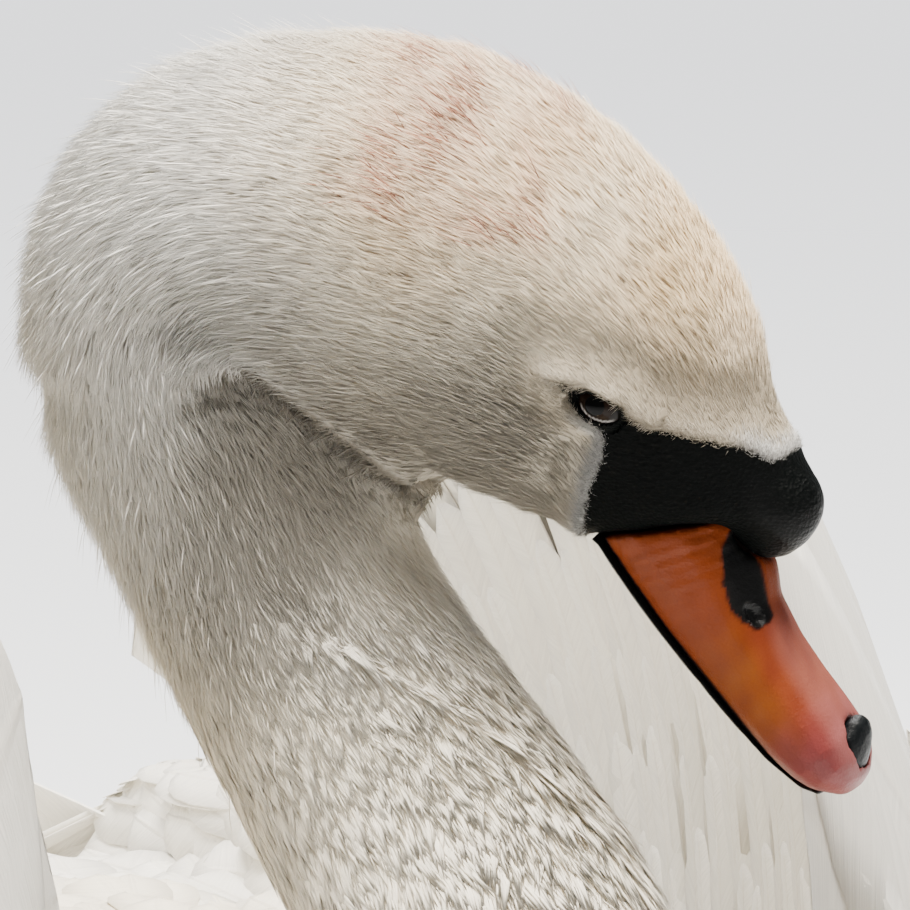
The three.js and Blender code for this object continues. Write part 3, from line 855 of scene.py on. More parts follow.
class Roots:
    """Seeded random places on the skin, thickest where share is high, with all they need to know."""

    def __init__(self, share, count, seed):
        self.random = np.random.default_rng(seed)
        weight = np.cumsum(skin_area * share[skin_faces].mean(1))
        at = (np.arange(count) + self.random.random(count)) / count * weight[-1]
        corners = skin_faces[np.searchsorted(weight, at).clip(0, len(skin_faces) - 1)]
        a, b = self.random.random((2, count))
        a, b = np.where(a + b > 1, 1 - a, a), np.where(a + b > 1, 1 - b, b)
        parts = np.stack([1 - a - b, a, b], -1)

        def spread(values):
            return (values[corners] * parts.reshape(count, 3, *[1] * (values.ndim - 1))).sum(1)

        self.place = spread(skin_points)
        self.normal = unit(spread(skin_normal))
        self.lie = tangent(spread(skin_lie), self.normal)
        self.bare = spread(skin_bare)
        corner = np.array([UNWRAP_CORNER[name] for name in skin_region[corners[:, 0]]])
        own = np.stack([skin_turn[corners[:, 0]], skin_run[corners[:, 0]]], -1)
        self.bake = corner + own * UNWRAP_SIDE
        self.colour = plumage_colour(self.place)
        self.count = count

    def chosen(self, keep):
        """Only the roots marked by keep, or each again as often as keep lists its number."""
        for name in ("place", "normal", "lie", "bare", "bake", "colour"):
            setattr(self, name, getattr(self, name)[keep])
        self.count = len(self.place)
        return self

    def turned(self, angle):
        """The lie turned about the normal, and the way to its side."""
        across = np.cross(self.normal, self.lie)
        way = self.lie * np.cos(angle)[:, None] + across * np.sin(angle)[:, None]
        return way, np.cross(self.normal, way)


def joined_mesh(name, points, faces, uv, tone, smooth, extra=()):
    """A mesh from arrays. faces is a list of (number of like feathers, corners) index arrays."""
    loops = np.concatenate([group.ravel() for group in faces])
    sizes = np.concatenate([np.full(len(group), group.shape[1]) for group in faces])
    mesh = bpy.data.meshes.new(name)
    mesh.vertices.add(len(points))
    mesh.vertices.foreach_set("co", points.ravel())
    mesh.loops.add(len(loops))
    mesh.loops.foreach_set("vertex_index", loops)
    mesh.polygons.add(len(sizes))
    mesh.polygons.foreach_set("loop_start", np.r_[0, np.cumsum(sizes)[:-1]])
    mesh.uv_layers.new(name="OFBake").data.foreach_set("uv", uv[loops].ravel())
    mesh.update(calc_edges=True)
    mesh.polygons.foreach_set("use_smooth", smooth)
    paint_points(mesh, "tone", tone)
    for label, values in extra:
        paint_points(mesh, label, values)
    made = bpy.data.objects.new(name, mesh)
    bpy.context.scene.collection.objects.link(made)
    return made


# corners of a bent blade and of a straight hair, as rings of three that end in a point, and
# which of their faces are smooth: the undersides and root ends are not
BENT_FACES = [np.array([(0, 1, 4, 3), (1, 2, 5, 4), (2, 0, 3, 5)]),
              np.array([(3, 4, 6), (4, 5, 6), (5, 3, 6), (2, 1, 0)])]
BENT_SMOOTH = [(False, True, True), (False, True, True, False)]
BENT_STEPS = ((0, 1.0), (0.5, 0.85), (1, 0.0))
BENT = (BENT_STEPS, BENT_FACES, BENT_SMOOTH, 10)  # the last is its number of triangles
STRAIGHT_FACES = [np.array([(0, 1, 3), (1, 2, 3), (2, 0, 3), (2, 1, 0)])]
STRAIGHT_SMOOTH = [(False, True, True, False)]
STRAIGHT_STEPS = ((0, 1.0), (1, 0.0))
STRAIGHT = (STRAIGHT_STEPS, STRAIGHT_FACES, STRAIGHT_SMOOTH, 4)
TRIANGLES_A_PIECE = 190000
TONE_LIMITS = (0.003, 0.97)


def coat_pieces(name, roots, length, width, lift, yaw, bend=0.10, straight=False, painted_root_tip_shade=(0.90, 1.04)):
    """Three-sided blades: each starts in the skin and ends in a point, with one bend or none. Its tone is
    painted darker or lighter from root to tip as shade.
    """
    way, side_way = roots.turned(yaw)
    steps, groups, smooth_faces, triangles = STRAIGHT if straight else BENT
    lift = np.clip(lift, 0.05, 1.0)
    corners, shade, local = [], [], []
    for s, share in steps:
        run = way * (length * s * np.cos(lift))[:, None]
        rise = length * s * np.sin(lift) - bend * length * s ** 2 - ROOT_SINK * (s == 0)
        middle = roots.place + run + roots.normal * rise[:, None]
        half = (width * share / 2)[:, None]
        ring = (middle - side_way * half, middle + side_way * half, middle + roots.normal * half * 0.5)
        ring = ring if share else (middle,)
        corners.extend(ring)
        # painted shade or painted light along each blade, from its root's share to its tip's
        shade.extend([painted_root_tip_shade[0] + (painted_root_tip_shade[1] - painted_root_tip_shade[0]) * s ** 0.7] * len(ring))
        local.extend([(0.5 * k, s) for k in range(len(ring))])
    points = np.stack(corners, 1)
    size = points.shape[1]
    brightness = roots.random.uniform(0.90, 1.06, roots.count)
    tone = roots.colour[:, None] * np.array(shade)[None, :, None] * brightness[:, None, None]
    uv = roots.bake[:, None] + np.array(local)[None] * PATCH
    pieces = math.ceil(roots.count * triangles / TRIANGLES_A_PIECE)
    for k in range(pieces):
        own = slice(k * roots.count // pieces, (k + 1) * roots.count // pieces)
        start = (np.arange(own.stop - own.start) * size)[:, None, None]
        faces = [(group[None] + start).reshape(-1, group.shape[1]) for group in groups]
        smooth = np.concatenate([np.tile(kinds, own.stop - own.start) for kinds in smooth_faces])
        made = joined_mesh(f"{name}_{k + 1}", points[own].reshape(-1, 3), faces, uv[own].reshape(-1, 2),
                           np.clip(tone[own], *TONE_LIMITS).reshape(-1, 3), smooth)
        made.data.materials.append(coat_finish)
        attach(made, "root")


coat_finish, shader, paint = new_material("fine_coat")
tone = paint.node("Attribute", settings={"attribute_name": "tone"})
join(paint, tone, shader, "Base Color")
shader.inputs["Roughness"].default_value = 0.62
shader.inputs["Specular IOR Level"].default_value = 0.3
shader.inputs["Sheen Weight"].default_value = 0.15
shader.inputs["Sheen Roughness"].default_value = 0.4

below_eyes = (BETWEEN_EYES.z - skin_points[:, 2]) * 1000
on_neck = skin_region == "neck"
covered = smooth_step(0.9, -0.2, skin_bare)
face_share = smooth_step(-60, -6, skin_bare)
head_share = (skin_region == "head") * covered * (0.7 + 1.3 * face_share)
neck_share = on_neck * (1 - 0.6 * smooth_step(60, 120, below_eyes))
COAT_LENGTH = 0.0085
NAPE_LONGER = 0.0025
LOWER_LONGER = 0.0030
COAT_WIDTHS = (0.00030, 0.00050)
COAT_LIFT = 0.27
THROAT_CORNER = (-56, -35)  # ahead of and above the eyes
# name, share of the skin, number, whether straight, seed
COATS = (("coat_head_under", head_share, 98000, True, 101), ("coat_head", head_share, 19000, False, 102),
         ("coat_neck_under", neck_share, 52000, True, 103), ("coat_neck", neck_share, 12000, False, 104))
for name, share, count, straight, seed in COATS:
    roots = Roots(share, count, seed)
    left, ahead, up = head_frame(roots.place)
    near_mask = smooth_step(-20, -1.0, roots.bare)
    nape = smooth_step(-70, -105, ahead) * smooth_step(-110, -50, up)
    lower = smooth_step(-40, -110, up)
    waves = 0.20 * wave_noise(roots.place, 0.014, 51) + 0.13 * wave_noise(roots.place, 0.005, 52)
    waves *= 1 - 0.4 * lower
    full = COAT_LENGTH + NAPE_LONGER * nape + LOWER_LONGER * lower
    length = full * (1 - 0.56 * near_mask) * roots.random.uniform(0.6, 1.2, count)
    stray = roots.random.random(count) < 0.003 + 0.11 * nape * (not straight)
    length *= 1 + 0.35 * stray
    # blades end short at the fold's edge and in the throat's corner
    below, at_edge = fold_distance(roots.place)
    edge = smooth_step(-9, -1, below) * smooth_step(1.5, 0, below) * at_edge
    from_corner = np.hypot(ahead - THROAT_CORNER[0], up - THROAT_CORNER[1])
    edge = np.maximum(edge, smooth_step(16, 6, from_corner))
    length *= 1 - 0.50 * edge
    lift = roots.random.normal(0, 0.07, count) * (1 - 0.5 * lower) + COAT_LIFT - 0.08 * lower
    lift += 0.16 * nape - 0.12 * near_mask + 0.26 * stray - 0.12 * edge
    lift += 0.06 * wave_noise(roots.place, 0.009, 55)
    width = roots.random.uniform(*COAT_WIDTHS, count) * (1 - 0.35 * near_mask) * (1 + 0.45 * lower)
    width *= 1.0 if straight else 1.25
    yaw = roots.random.normal(0, 0.09, count) + waves
    # the head's blades are painted darker at the root as shade, the neck's nearly even
    coat_pieces(name, roots, length, width, lift - 0.08 * straight, yaw,
                bend=0.02 if straight else 0.10, straight=straight,
                painted_root_tip_shade=(0.90, 1.04) if "head" in name else (0.98, 1.01))

# a ragged fringe of tiny barbs, pale and dark, along the mask's edge
FRINGE = 9000
fringe_share = (skin_region == "head") * smooth_step(-2.6, -0.6, skin_bare)
fringe_share = fringe_share * smooth_step(1.3, 0.2, skin_bare)
roots = Roots(fringe_share, FRINGE, 105)
roots.colour = roots.colour * roots.random.uniform(0.50, 1.15, FRINGE)[:, None]
# painted shade darkens the barbs' roots
coat_pieces("coat_fringe", roots, roots.random.uniform(0.0010, 0.0030, FRINGE),
            roots.random.uniform(0.00016, 0.00030, FRINGE), roots.random.uniform(0.15, 0.6, FRINGE),
            roots.random.normal(0, 0.7, FRINGE), bend=0.0, straight=True, painted_root_tip_shade=(0.8, 1.1))

# rusty, iron-stained barbs in loose groups on the crown
STAINED = 380
STAINED_BROWN = (0.32, 0.14, 0.08)
left, ahead, up = head_frame(skin_points)
streaks = smooth_step(0.1, 0.5, wave_noise(skin_points, 0.02, 61))
stained_share = (skin_region == "head") * smooth_step(-72, -52, ahead) * smooth_step(-6, -22, ahead)
stained_share = stained_share * smooth_step(40, 48, up + 0.25 * (ahead + 40)) * (0.02 + streaks)
roots = Roots(stained_share, STAINED, 106)
roots.colour = np.tile(STAINED_BROWN, (STAINED, 1)) * roots.random.uniform(0.6, 1.6, STAINED)[:, None]
coat_pieces("stained_barbs", roots, roots.random.uniform(0.009, 0.016, STAINED), np.full(STAINED, 0.00032),
            roots.random.uniform(0.30, 0.52, STAINED), roots.random.normal(0, 0.25, STAINED), bend=0.16)


# ---- Tufted coat of the lower neck ---------------------------------------------------------
# Down the neck the feathers grow longer and looser. The barbs of each draw together into a
# pointed tuft, whose tip lifts a little over the next.

TUFTS = 3600
BARBS = 7
TUFT_LENGTH = 0.0135
TUFT_LONGER = 0.012  # more than that at the neck's foot
TUFT_WIDTH = 0.0026
TUFT_WIDER = 0.0028
tuft_share = on_neck * smooth_step(48, 95, below_eyes)
roots = Roots(tuft_share, TUFTS, 107)
roots.chosen(np.repeat(np.arange(TUFTS), BARBS))
count = roots.count
grown = smooth_step(30, 190, (BETWEEN_EYES.z - roots.place[:, 2]) * 1000)
in_tuft = np.tile(np.linspace(-1, 1, BARBS), TUFTS)
own = np.repeat(roots.random.random((TUFTS, 3)), BARBS, axis=0)
tuft_length = (TUFT_LENGTH + TUFT_LONGER * grown) * (0.8 + 0.4 * own[:, 0])
tuft_width = (TUFT_WIDTH + TUFT_WIDER * grown) * (0.8 + 0.4 * own[:, 1])
way, side_way = roots.turned(0.3 * wave_noise(roots.place, 0.02, 56) + 0.25 * (own[:, 2] - 0.5))
roots.lie = way
roots.place = roots.place + side_way * (in_tuft * tuft_width / 2)[:, None]
barb_length = tuft_length * (1 - 0.25 * np.abs(in_tuft)) * roots.random.uniform(0.8, 1.1, count)
draw_in = -np.arctan(in_tuft * tuft_width / 2 / tuft_length) * (0.5 + 0.6 * own[:, 0])
barb_lift = 0.085 + 0.045 * own[:, 1] + 0.01 * (1 - np.abs(in_tuft))
roots.colour = roots.colour * (0.98 + 0.05 * own[:, 0])[:, None]
# the tufts' roots are painted lighter than their tips, painted light against their own shade
coat_pieces("coat_tufts", roots, barb_length, tuft_width / BARBS * 2.2, barb_lift,
            draw_in + roots.random.normal(0, 0.04, count), bend=0.05, painted_root_tip_shade=(1.05, 0.93))


# ---- Body feathers -------------------------------------------------------------------------
# Broad, soft-edged contour feathers shingle over breast, back, flanks and rump. Each is a thin
# closed plate, cupped to the body, with a shaft and barbs that its material draws.

FLOOR_GAP = 0.0006
# rows along a short feather, and its share of the half width at each
SHORT_ROWS = np.array((0, 0.35, 0.65, 0.84, 0.95, 1.0))
SHORT_WIDTHS = np.array((0.50, 0.94, 1.0, 0.86, 0.60, 0.22))
SHORT_COLUMNS = 3


def feather_pieces(name, top, bottom, tone, uv, length, replaced=None):
    """Closed plates from their upper and lower grids of points: feather, row, column."""
    count, rows, columns = top.shape[:3]
    grid = np.arange(rows * columns).reshape(rows, columns)
    under = grid + rows * columns
    cells = np.stack([grid[:-1, :-1], grid[:-1, 1:], grid[1:, 1:], grid[1:, :-1]], -1).reshape(-1, 4)
    rim = np.r_[grid[0, :], grid[1:, -1], grid[-1, -2::-1], grid[-2:0:-1, 0]]
    wall = np.stack([rim, np.roll(rim, -1), np.roll(rim, -1) + rows * columns, rim + rows * columns], -1)
    faces = np.concatenate([cells, (cells + rows * columns)[:, ::-1], wall[:, ::-1]])
    smooth = np.arange(len(faces)) < 2 * len(cells)  # the thin rim stays crisp
    sample = np.concatenate([top[0].reshape(-1, 3), bottom[0].reshape(-1, 3)])
    corner = sample[faces[0]]
    if np.cross(corner[1] - corner[0], corner[2] - corner[0]) @ (top[0] - bottom[0]).mean((0, 1)) < 0:
        faces = faces[:, ::-1]
    points = np.concatenate([top.reshape(count, -1, 3), bottom.reshape(count, -1, 3)], 1)
    points[..., 2] = np.maximum(points[..., 2], FLOOR_GAP)
    across = np.tile(np.broadcast_to(np.linspace(-1, 1, columns), (rows, columns)).ravel(), 2)
    run = np.tile(np.repeat(np.linspace(0, 1, rows), columns), 2)
    tone = np.concatenate([tone.reshape(count, -1, 3)] * 2, 1)
    uv = np.concatenate([uv.reshape(count, -1, 2)] * 2, 1)
    spin = np.random.default_rng(count).random(count) * 9
    per_piece = max(1, TRIANGLES_A_PIECE // (2 * len(faces)))
    pieces = math.ceil(count / per_piece)
    for k in range(pieces):
        own = slice(k * count // pieces, (k + 1) * count // pieces)
        number = own.stop - own.start
        start = (np.arange(number) * points.shape[1])[:, None, None]
        made = joined_mesh(
            f"{name}_{k + 1}" if pieces > 1 else name, points[own].reshape(-1, 3),
            [(faces[None] + start).reshape(-1, 4)], uv[own].reshape(-1, 2),
            np.clip(tone[own], *TONE_LIMITS).reshape(-1, 3), np.tile(smooth, number),
            extra=[("across", np.tile(across, number)),
                   ("run", (length[own, None] * run[None] * 1000).ravel()),
                   ("spin", np.repeat(spin[own], points.shape[1]))])
        made.data.materials.append(vane_finish)
        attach(made, "root")
        if replaced:
            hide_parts(replaced)


vane_finish, shader, paint = new_material("feather_vane")
tone = paint.node("Attribute", settings={"attribute_name": "tone"})
across = paint.node("Attribute", out="Fac", settings={"attribute_name": "across"})
run = paint.node("Attribute", out="Fac", settings={"attribute_name": "run"})
spin = paint.node("Attribute", out="Fac", settings={"attribute_name": "spin"})
side_part = across.maths("ABSOLUTE", 0.0)
barb_run = run - side_part * 9.0
barb_place = paint.node("CombineXYZ", i0=barb_run * 1.6, i1=side_part * 0.8, i2=spin)
barbs = paint.node("TexNoise", Vector=barb_place, Scale=0.55, Detail=4.0, Roughness=0.6)
shaft = side_part.node("MapRange", i0=side_part, i1=0.10, i2=0.02)
streak = barbs.node("MapRange", i0=barbs, i1=0.3, i2=0.7, i3=0.86, i4=1.0)
shade = paint.node("Mix", out=2, settings={"data_type": "RGBA", "blend_type": "MULTIPLY"},
                   i0=1.0, i6=tone, i7=paint.node("CombineColor", i0=streak, i1=streak, i2=streak * 0.99))
join(paint, (shaft * 0.25).mix(shade, (0.80, 0.74, 0.62, 1)), shader, "Base Color")
join(paint, paint.node("Bump", Strength=0.6, Distance=0.0008, Height=barbs + shaft * 0.8), shader, "Normal")
shader.inputs["Roughness"].default_value = 0.6
shader.inputs["Specular IOR Level"].default_value = 0.3
shader.inputs["Sheen Weight"].default_value = 0.15
shader.inputs["Sheen Roughness"].default_value = 0.4

BODY_FEATHERS = 3200
BODY_LENGTH = 0.056
BREAST_SHORTER = 0.018
BODY_WIDTHS = (0.42, 0.52)  # share of the length
BODY_LIFT = 0.115
BODY_BEND = 0.05
BODY_CUP = 0.045
BODY_THICK = 0.0006
not_belly = 1 - (skin_normal[:, 2] < -0.75) * (skin_points[:, 2] < 0.02)
behind_neck = smooth_step(150, 200, below_eyes)
body_share = (skin_region == "trunk") * not_belly + 1.6 * on_neck * behind_neck
roots = Roots(body_share, BODY_FEATHERS, 108)
breast = smooth_step(-0.02, -0.20, roots.place[:, 1])
feather_length = (BODY_LENGTH - BREAST_SHORTER * breast) * roots.random.uniform(0.85, 1.15, BODY_FEATHERS)
feather_width = feather_length * roots.random.uniform(*BODY_WIDTHS, BODY_FEATHERS)
yaw = roots.random.normal(0, 0.16, BODY_FEATHERS) + 0.2 * wave_noise(roots.place, 0.06, 57)
way, side_way = roots.turned(yaw)
lift = roots.random.normal(BODY_LIFT, 0.012, BODY_FEATHERS) + 0.02 * breast
s = SHORT_ROWS[None, :, None, None]
c = np.linspace(-1, 1, SHORT_COLUMNS)[None, None, :, None]
wide = SHORT_WIDTHS[None, :, None, None]


def each(values):
    """One value for each feather, ready to work on grids of feather, row, column and axis."""
    return values[:, None, None, None]


def laid_on_skin(roots, way, side_way, length, width, lift, bend, cup):
    """Upper grids of feathers that spring from the skin."""
    rise = each(length) * (each(lift) * s - bend * s ** 2) - cup * each(width) * c ** 2
    return (roots.place[:, None, None] + way[:, None, None] * each(length) * s
            + side_way[:, None, None] * each(width) / 2 * wide * c
            + roots.normal[:, None, None] * rise)


top = laid_on_skin(roots, way, side_way, feather_length, feather_width, lift, BODY_BEND, BODY_CUP)
# feathers follow the body where it curves away under them
skin_tree = BVHTree.FromPolygons(skin_points.tolist(), skin_faces.tolist())
highest = 0.0016 + 0.0078 * s + each(roots.random.uniform(0, 0.0010, BODY_FEATHERS))
highest = np.broadcast_to(highest, top[..., :1].shape)
for spot, limit in zip(top.reshape(-1, 3), highest.reshape(-1)):
    nearest, way_out, _, away = skin_tree.find_nearest(Vector(spot))
    if away > limit:
        spot[:] = nearest + (Vector(spot) - nearest) * (limit / away)
bottom = top - roots.normal[:, None, None] * (BODY_THICK * (1 - 0.6 * s))
brightness = roots.random.uniform(0.93, 1.06, BODY_FEATHERS)
# painted shade makes each feather darker towards its root, where others cover it; it is also a little
# darker at its sides
tone = roots.colour[:, None, None] * each(brightness) * (0.86 + 0.18 * s) * (1 - 0.03 * np.abs(c))
patch_uv = np.stack(np.broadcast_arrays(c[..., 0] * 0.5 + 0.5, s[..., 0]), -1) * PATCH
uv = roots.bake[:, None, None] + patch_uv
feather_pieces("body_feathers", top, bottom, tone, uv, feather_length)


# ---- Wings ---------------------------------------------------------------------------------
# Both wings are half raised over the back, as a threatening swan carries them. Long secondaries
# stand in an arch, their bases hidden by rows of coverts, and the folded primaries run back.

EYES_IN_BODY = (58, -150, 430)  # between the eyes in the body's own measures, millimetres
WING_TOP = 485
WING_FRONT = -222
SECONDARIES = 22
LONG_COLUMNS = 7
QUILL_COLUMNS = 5
LONG_ROWS = np.array((0, 0.12, 0.28, 0.45, 0.62, 0.76, 0.86, 0.92, 0.955, 0.98, 0.993, 1.0))


def to_world(places, side):
    """Body measures in millimetres to world metres, with the left side mirrored for side -1."""
    mirrored = places * np.array((side, 1, 1))
    return np.array(BETWEEN_EYES) + (mirrored - np.array(EYES_IN_BODY)) / 1000


def wing_surface(u, v, face):
    """The left wing: u runs from the shoulder to the rear, v from the flank to the tips."""
    rise = np.sin(math.pi * u ** 0.72)
    swell = np.sin(math.pi * u)
    low = 172 - 260 * u * (1 - u) - 20 * u
    high = 236 + (WING_TOP - 245) * rise ** 0.75 + 9 * swell
    near = WING_FRONT + 372 * u
    far = WING_FRONT + 62 + 480 * u
    out = 106 + 46 * swell ** 0.8 + 36 * np.sin(math.pi * v ** 0.9) - 38 * v ** 2.2 * swell
    thick = 1.6 + (4 + 26 * swell) * (1 - v) ** 1.4
    return np.stack([out + (face - 1) * thick, near + (far - near) * v ** 1.1, low + (high - low) * v], -1)


def surface_frame(surface, u, v, face, side):
    """World points of a surface, and its normals away from its other face."""
    u = np.clip(u, 0.002, 0.995)
    v = np.clip(v, 0.0, 0.999)
    small = 1e-3
    here = surface(u, v, face)
    cross = np.cross(surface(u + small, v, face) - here, surface(u, v + small, face) - here)
    through = surface(u, v, 1.0) - surface(u, v, 0.0)
    normal = unit(cross) * np.sign((cross * through).sum(-1, keepdims=True)) * (1 if face else -1)
    return to_world(here, side), normal * np.array((side, 1, 1))


def laid_on_surface(surface, side, face, middle, start, end, half, rows, widths, columns, seed,
                    tilt=0.0, cup=0.0, lift=0.0, base=0.0, thick=0.0008):
    """Grids of feathers laid on a surface. middle, start, end and half are one for each feather."""
    s = rows[None, :, None]
    c = np.linspace(-1, 1, columns)[None, None, :]
    own = np.random.default_rng(seed)
    sway = own.normal(0, 0.25, len(middle))[:, None, None] * half[:, None, None]
    u = middle[:, None, None] + sway * s + half[:, None, None] * widths[None, :, None] * c
    v = start[:, None, None] + (end - start)[:, None, None] * s * (1 - 0.012 * c ** 2 * (s > 0.9))
    points, normal = surface_frame(surface, u, v, face, side)
    rise = base + tilt * c + lift * s ** 0.7 - cup * c ** 2
    rise = rise + own.uniform(0, 0.0003, len(middle))[:, None, None]
    top = points + normal * rise[..., None]
    bottom = top - normal * (thick * (1 - 0.5 * s))[..., None]
    length = np.linalg.norm(top[:, -1, columns // 2] - top[:, 0, columns // 2], axis=-1)
    brightness = own.uniform(0.94, 1.04, len(middle))[:, None, None, None]
    # painted shade makes each feather darker towards its root
    tone = WHITE * brightness * (0.86 + 0.16 * s[..., None]) * np.ones_like(top)
    uv = np.stack(np.broadcast_arrays(u, v), -1)
    return top, bottom, tone, uv, length


def round_tip(rows, root=0.35, tip=0.15):
    """Half widths of a feather along its length: narrow at the root, round over the tip's share."""
    past = np.clip((rows - 1 + tip) / tip, 0, 1)
    return (root + (1 - root) * smooth_step(0, 0.35, rows)) * np.sqrt(np.clip(1 - past ** 2, 0.012, 1))


def small_patches(uv):
    """A patch of the unwrap for each short feather, at its root's place."""
    return 0.02 + uv[:, :1, 1:2] * 0.9 + np.broadcast_to(patch_uv, uv.shape)


def own_squares(count, rows, columns):
    """A square of the baked picture for each feather of a small piece."""
    side = math.ceil(math.sqrt(count))
    corner = np.stack([np.arange(count) % side, np.arange(count) // side], -1) / side
    c, s = np.meshgrid(np.linspace(0.04, 0.96, columns), np.linspace(0.04, 0.96, rows))
    return corner[:, None, None] + np.stack([c, s], -1) / side


GREATER_COVERTS = 26
WORN = 8  # a secondary that is worn short
WORN_BY = 0.055
# start and end up the wing, and number, of each row of coverts
COVERT_ROWS = ((0.00, 0.15, 46), (0.05, 0.21, 44), (0.10, 0.27, 42), (0.15, 0.33, 38),
               (0.20, 0.40, 34), (0.25, 0.48, 30))
LINING_ROWS = ((0.30, 0.57, 30), (0.36, 0.66, 28), (0.43, 0.76, 26))
for side_name, side in (("left", 1), ("right", -1)):
    # secondaries, then the greater coverts over their bases
    for name, number, start, end, overlap, base in (
            ("secondaries", SECONDARIES, 0.26, 1.0, 2.1, 0.0),
            ("greater_coverts", GREATER_COVERTS, 0.18, 0.62, 1.7, 0.0016)):
        flight = name == "secondaries"
        middle = (np.arange(number) + 0.5) / number
        half = np.full(number, overlap / number / 2)
        own = np.random.default_rng(number)
        ends = end - own.uniform(0, 0.02, number)
        ends[WORN] -= WORN_BY * flight
        top, bottom, tone, uv, length = laid_on_surface(
            wing_surface, side, 1.0, middle, np.full(number, start), ends, half, LONG_ROWS,
            round_tip(LONG_ROWS), LONG_COLUMNS, seed=201 + number, tilt=0.0004, cup=0.0005, base=base,
            thick=0.0007)
        squares = own_squares(number, len(LONG_ROWS), LONG_COLUMNS)
        feather_pieces(f"{name}_{side_name}", top, bottom, tone, squares, length,
                       f"wing_flight_{side_name}" if flight else None)
    # lesser and median coverts in rows, on both faces of the arm
    for face, face_name in ((1.0, "upper"), (0.0, "lower")):
        rows_of = []
        own_rows = COVERT_ROWS if face else COVERT_ROWS + LINING_ROWS
        for number_row, (start, end, number) in enumerate(own_rows):
            own = np.random.default_rng(300 + number_row)
            middle = (np.arange(number) + 0.5 + own.uniform(-0.3, 0.3, number)) / number
            starts = start + own.uniform(-0.015, 0.015, number).clip(-start)
            ends = end + own.uniform(-0.02, 0.02, number)
            rows_of.append(np.stack([middle, starts, ends, np.full(number, 0.72 / number)]))
        middle, start, end, half = np.concatenate(rows_of, 1)
        top, bottom, tone, uv, length = laid_on_surface(
            wing_surface, side, face, middle, start, end, half, SHORT_ROWS, SHORT_WIDTHS,
            SHORT_COLUMNS, seed=310, cup=0.0008, base=-0.0004 if face else 0.0002,
            lift=0.0042 if face else 0.0014)
        feather_pieces(f"coverts_{face_name}_{side_name}", top, bottom, tone, small_patches(uv), length)


def primaries_surface(u, v, face):
    """The left wing's folded primaries, beside the tail."""
    width = 84 * (1 - v ** 2.2) ** 0.7 + 8
    thick = 2 + 12 * (1 - v)
    middle = 120 - 80 * v ** 1.1
    return np.stack([
        middle - (u - 0.5) * width * 0.55 + (face - 0.5) * thick * 0.8,
        140 + 285 * v + 0 * u,
        168 + 44 * v ** 1.2 - (0.5 - u) * width * 0.8 + (face - 0.5) * thick * 0.6], -1)


def joined_parts(parts):
    """Upper and lower grids, tones and lengths of feathers that were laid one by one."""
    return (np.concatenate([part[k] for part in parts]) for k in (0, 1, 2, 4))


PRIMARIES = 9
for side_name, side in (("left", 1), ("right", -1)):
    place = np.arange(PRIMARIES) / (PRIMARIES - 1)
    parts = []
    for k in range(PRIMARIES):
        parts.append(laid_on_surface(
            primaries_surface, side, 1.0, np.array([0.80 - 0.55 * place[k]]), np.array([0.0]),
            np.array([0.66 + 0.34 * place[k]]), np.array([0.26]), LONG_ROWS, round_tip(LONG_ROWS, 0.7, 0.3),
            QUILL_COLUMNS, seed=400 + k, base=-0.0012 * (PRIMARIES - 1 - k) * 0.8, cup=0.0008,
            tilt=0.0006, thick=0.001))
    top, bottom, tone, length = joined_parts(parts)
    squares = own_squares(PRIMARIES, len(LONG_ROWS), QUILL_COLUMNS)
    feather_pieces(f"primaries_{side_name}", top, bottom, tone, squares, length,
                   f"wing_primaries_{side_name}")


# ---- Tail ----------------------------------------------------------------------------------
# A short wedge of broad feathers, the middle pair on top, closed over by coverts above and below.

TAIL_ROOT = 235
TAIL_TIP = 455


def tail_surface(u, v, face):
    """The tail: u runs across it and v from root to tip."""
    across = 2 * u - 1
    reach = TAIL_TIP - 70 * across ** 2 - TAIL_ROOT
    thick = (2 + 50 * (1 - v) ** 1.4) * (1 - 0.75 * across ** 4)
    height = 150 + 34 * v - 26 * across ** 2 * (1 - 0.4 * v)
    return np.stack([across * (82 - 12 * v), TAIL_ROOT + v * reach, height + (face - 0.5) * thick], -1)


TAIL_FEATHERS = 18
# start and end along the tail, and number, of each row of its coverts
TAIL_COVERT_ROWS = ((0.0, 0.26, 15), (0.08, 0.36, 14), (0.17, 0.47, 13), (0.26, 0.60, 12), (0.38, 0.76, 10))
middle = np.linspace(0.07, 0.93, TAIL_FEATHERS)
from_middle = np.abs(middle - 0.5)
order = np.argsort(-from_middle)
tail_parts = []
for k in order:
    tail_parts.append(laid_on_surface(
        tail_surface, 1, 1.0, middle[k:k + 1], np.array([0.10]), np.array([1.0]), np.array([0.075]),
        LONG_ROWS, round_tip(LONG_ROWS, 0.5, 0.14), QUILL_COLUMNS, seed=500 + k,
        base=-0.004 * from_middle[k], cup=0.001, thick=0.001))
top, bottom, tone, length = joined_parts(tail_parts)
squares = own_squares(TAIL_FEATHERS, len(LONG_ROWS), QUILL_COLUMNS)
feather_pieces("tail_feathers", top, bottom, tone, squares, length, "tail")
for face, face_name in ((1.0, "upper"), (0.0, "lower")):
    rows_of = []
    for k, (start, end, number) in enumerate(TAIL_COVERT_ROWS):
        own = np.random.default_rng(520 + k)
        middle = (np.arange(number) + 0.5 + own.uniform(-0.25, 0.25, number)) / number
        ends = end + own.uniform(-0.03, 0.03, number)
        rows_of.append(np.stack([middle, np.full(number, start), ends, np.full(number, 0.85 / number)]))
    middle, start, end, half = np.concatenate(rows_of, 1)
    top, bottom, tone, uv, length = laid_on_surface(
        tail_surface, 1, face, middle, start, end, half, SHORT_ROWS, SHORT_WIDTHS,
        SHORT_COLUMNS, seed=530, cup=0.0012, base=0.001, lift=0.003)
    feather_pieces(f"tail_coverts_{face_name}", top, bottom, tone, small_patches(uv), length)


# ---- Floor and light -----------------------------------------------------------------------
# A wide pale floor that fades out under a pale sky, a large soft lamp above the head, a small
# one to the left of the view, and a third that keeps the floor behind the bird bright.

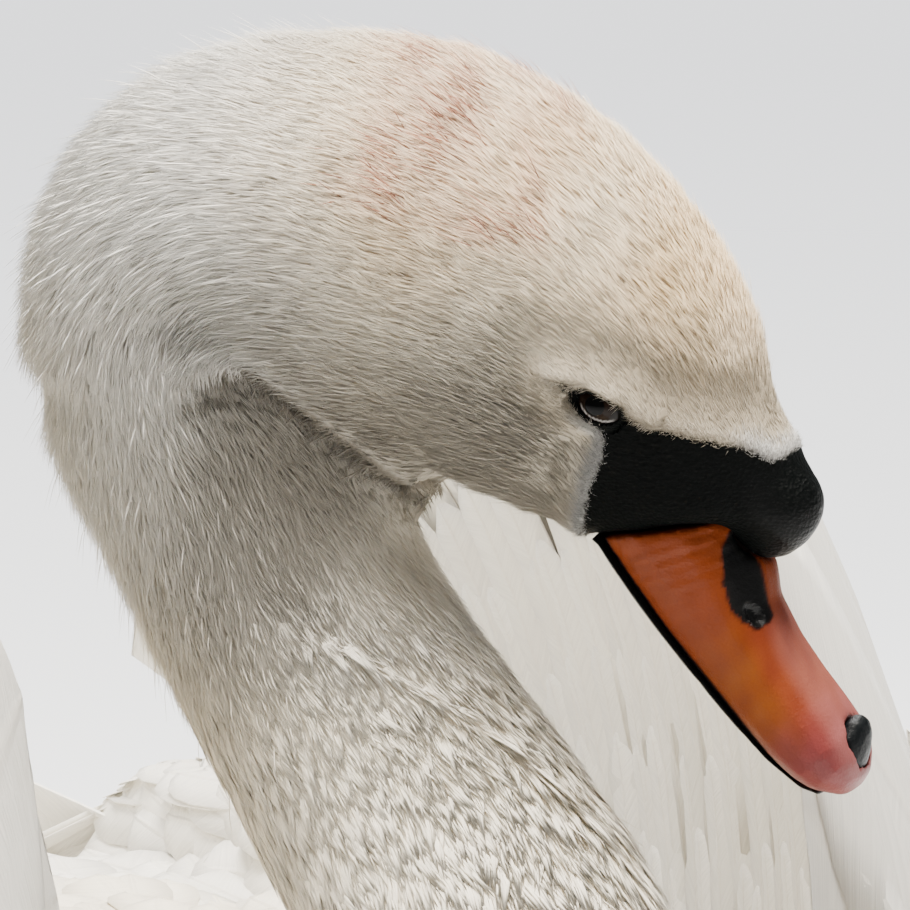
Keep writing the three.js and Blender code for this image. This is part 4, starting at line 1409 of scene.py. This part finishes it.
FLOOR_WHOLE = 0.9  # metres out to which the floor is solid
FLOOR_END = 2.6
floor_mesh = bmesh.new()
bmesh.ops.create_grid(floor_mesh, x_segments=1, y_segments=1, size=3)
floor = finished("floor", floor_mesh, smooth=False)
floor_finish, shader, paint = new_material("pale_floor")
grain = paint.node("TexNoise", Vector=object_place(paint), Scale=3.0, Detail=4.0)
join(paint, grain.mix((0.84, 0.86, 0.88, 1), (0.90, 0.91, 0.92, 1)), shader, "Base Color")
out = paint.node("VectorMath", out="Value", settings={"operation": "LENGTH"}, i0=object_place(paint))
join(paint, out.node("MapRange", i0=out, i1=FLOOR_WHOLE, i2=FLOOR_END, i3=1.0, i4=0.0), shader, "Alpha")
shader.inputs["Roughness"].default_value = 0.8
floor.data.materials.append(floor_finish)

SKY_LIGHT = 0.15
SKY_SEEN = 2.0
sky = bpy.data.worlds.new("pale_sky")
sky.use_nodes = True
sky.node_tree.nodes["Background"].inputs["Color"].default_value = (0.96, 0.97, 1.0, 1)
light = Paint(sky.node_tree)
seen = light.node("LightPath", out="Is Camera Ray")
strength = seen * (SKY_SEEN - SKY_LIGHT) + SKY_LIGHT
light.tree.links.new(strength.socket, sky.node_tree.nodes["Background"].inputs["Strength"])
bpy.context.scene.world = sky


def soft_lamp(name, place, target, size, power, colour):
    """A round lamp at a place, turned to its target."""
    data = bpy.data.lights.new(name, "AREA")
    data.shape = "DISK"
    data.size = size
    data.energy = power
    data.color = colour
    lamp = bpy.data.objects.new(name, data)
    lamp.location = place
    lamp.rotation_euler = (place - target).to_track_quat("Z", "Y").to_euler()
    bpy.context.scene.collection.objects.link(lamp)


flat_to_camera = Vector((toward_camera.x, toward_camera.y, 0)).normalized()
above_head = BETWEEN_EYES - view_right * 0.05 + UP * 1.8 - flat_to_camera * 0.10
soft_lamp("key_lamp", above_head, BETWEEN_EYES, size=1.5, power=202, colour=(1.0, 0.955, 0.89))
at_left = BETWEEN_EYES - view_right * 1.5 + UP * 1.0 - flat_to_camera * 0.3
soft_lamp("left_lamp", at_left, BETWEEN_EYES, size=0.9, power=26, colour=(1.0, 0.99, 0.97))
behind = Vector((0, 0, 0)) - flat_to_camera * 2.2
over_floor = behind + UP * 2.6 - flat_to_camera * 0.6
soft_lamp("floor_lamp", over_floor, behind, size=1.6, power=150, colour=(1.0, 1.0, 1.0))
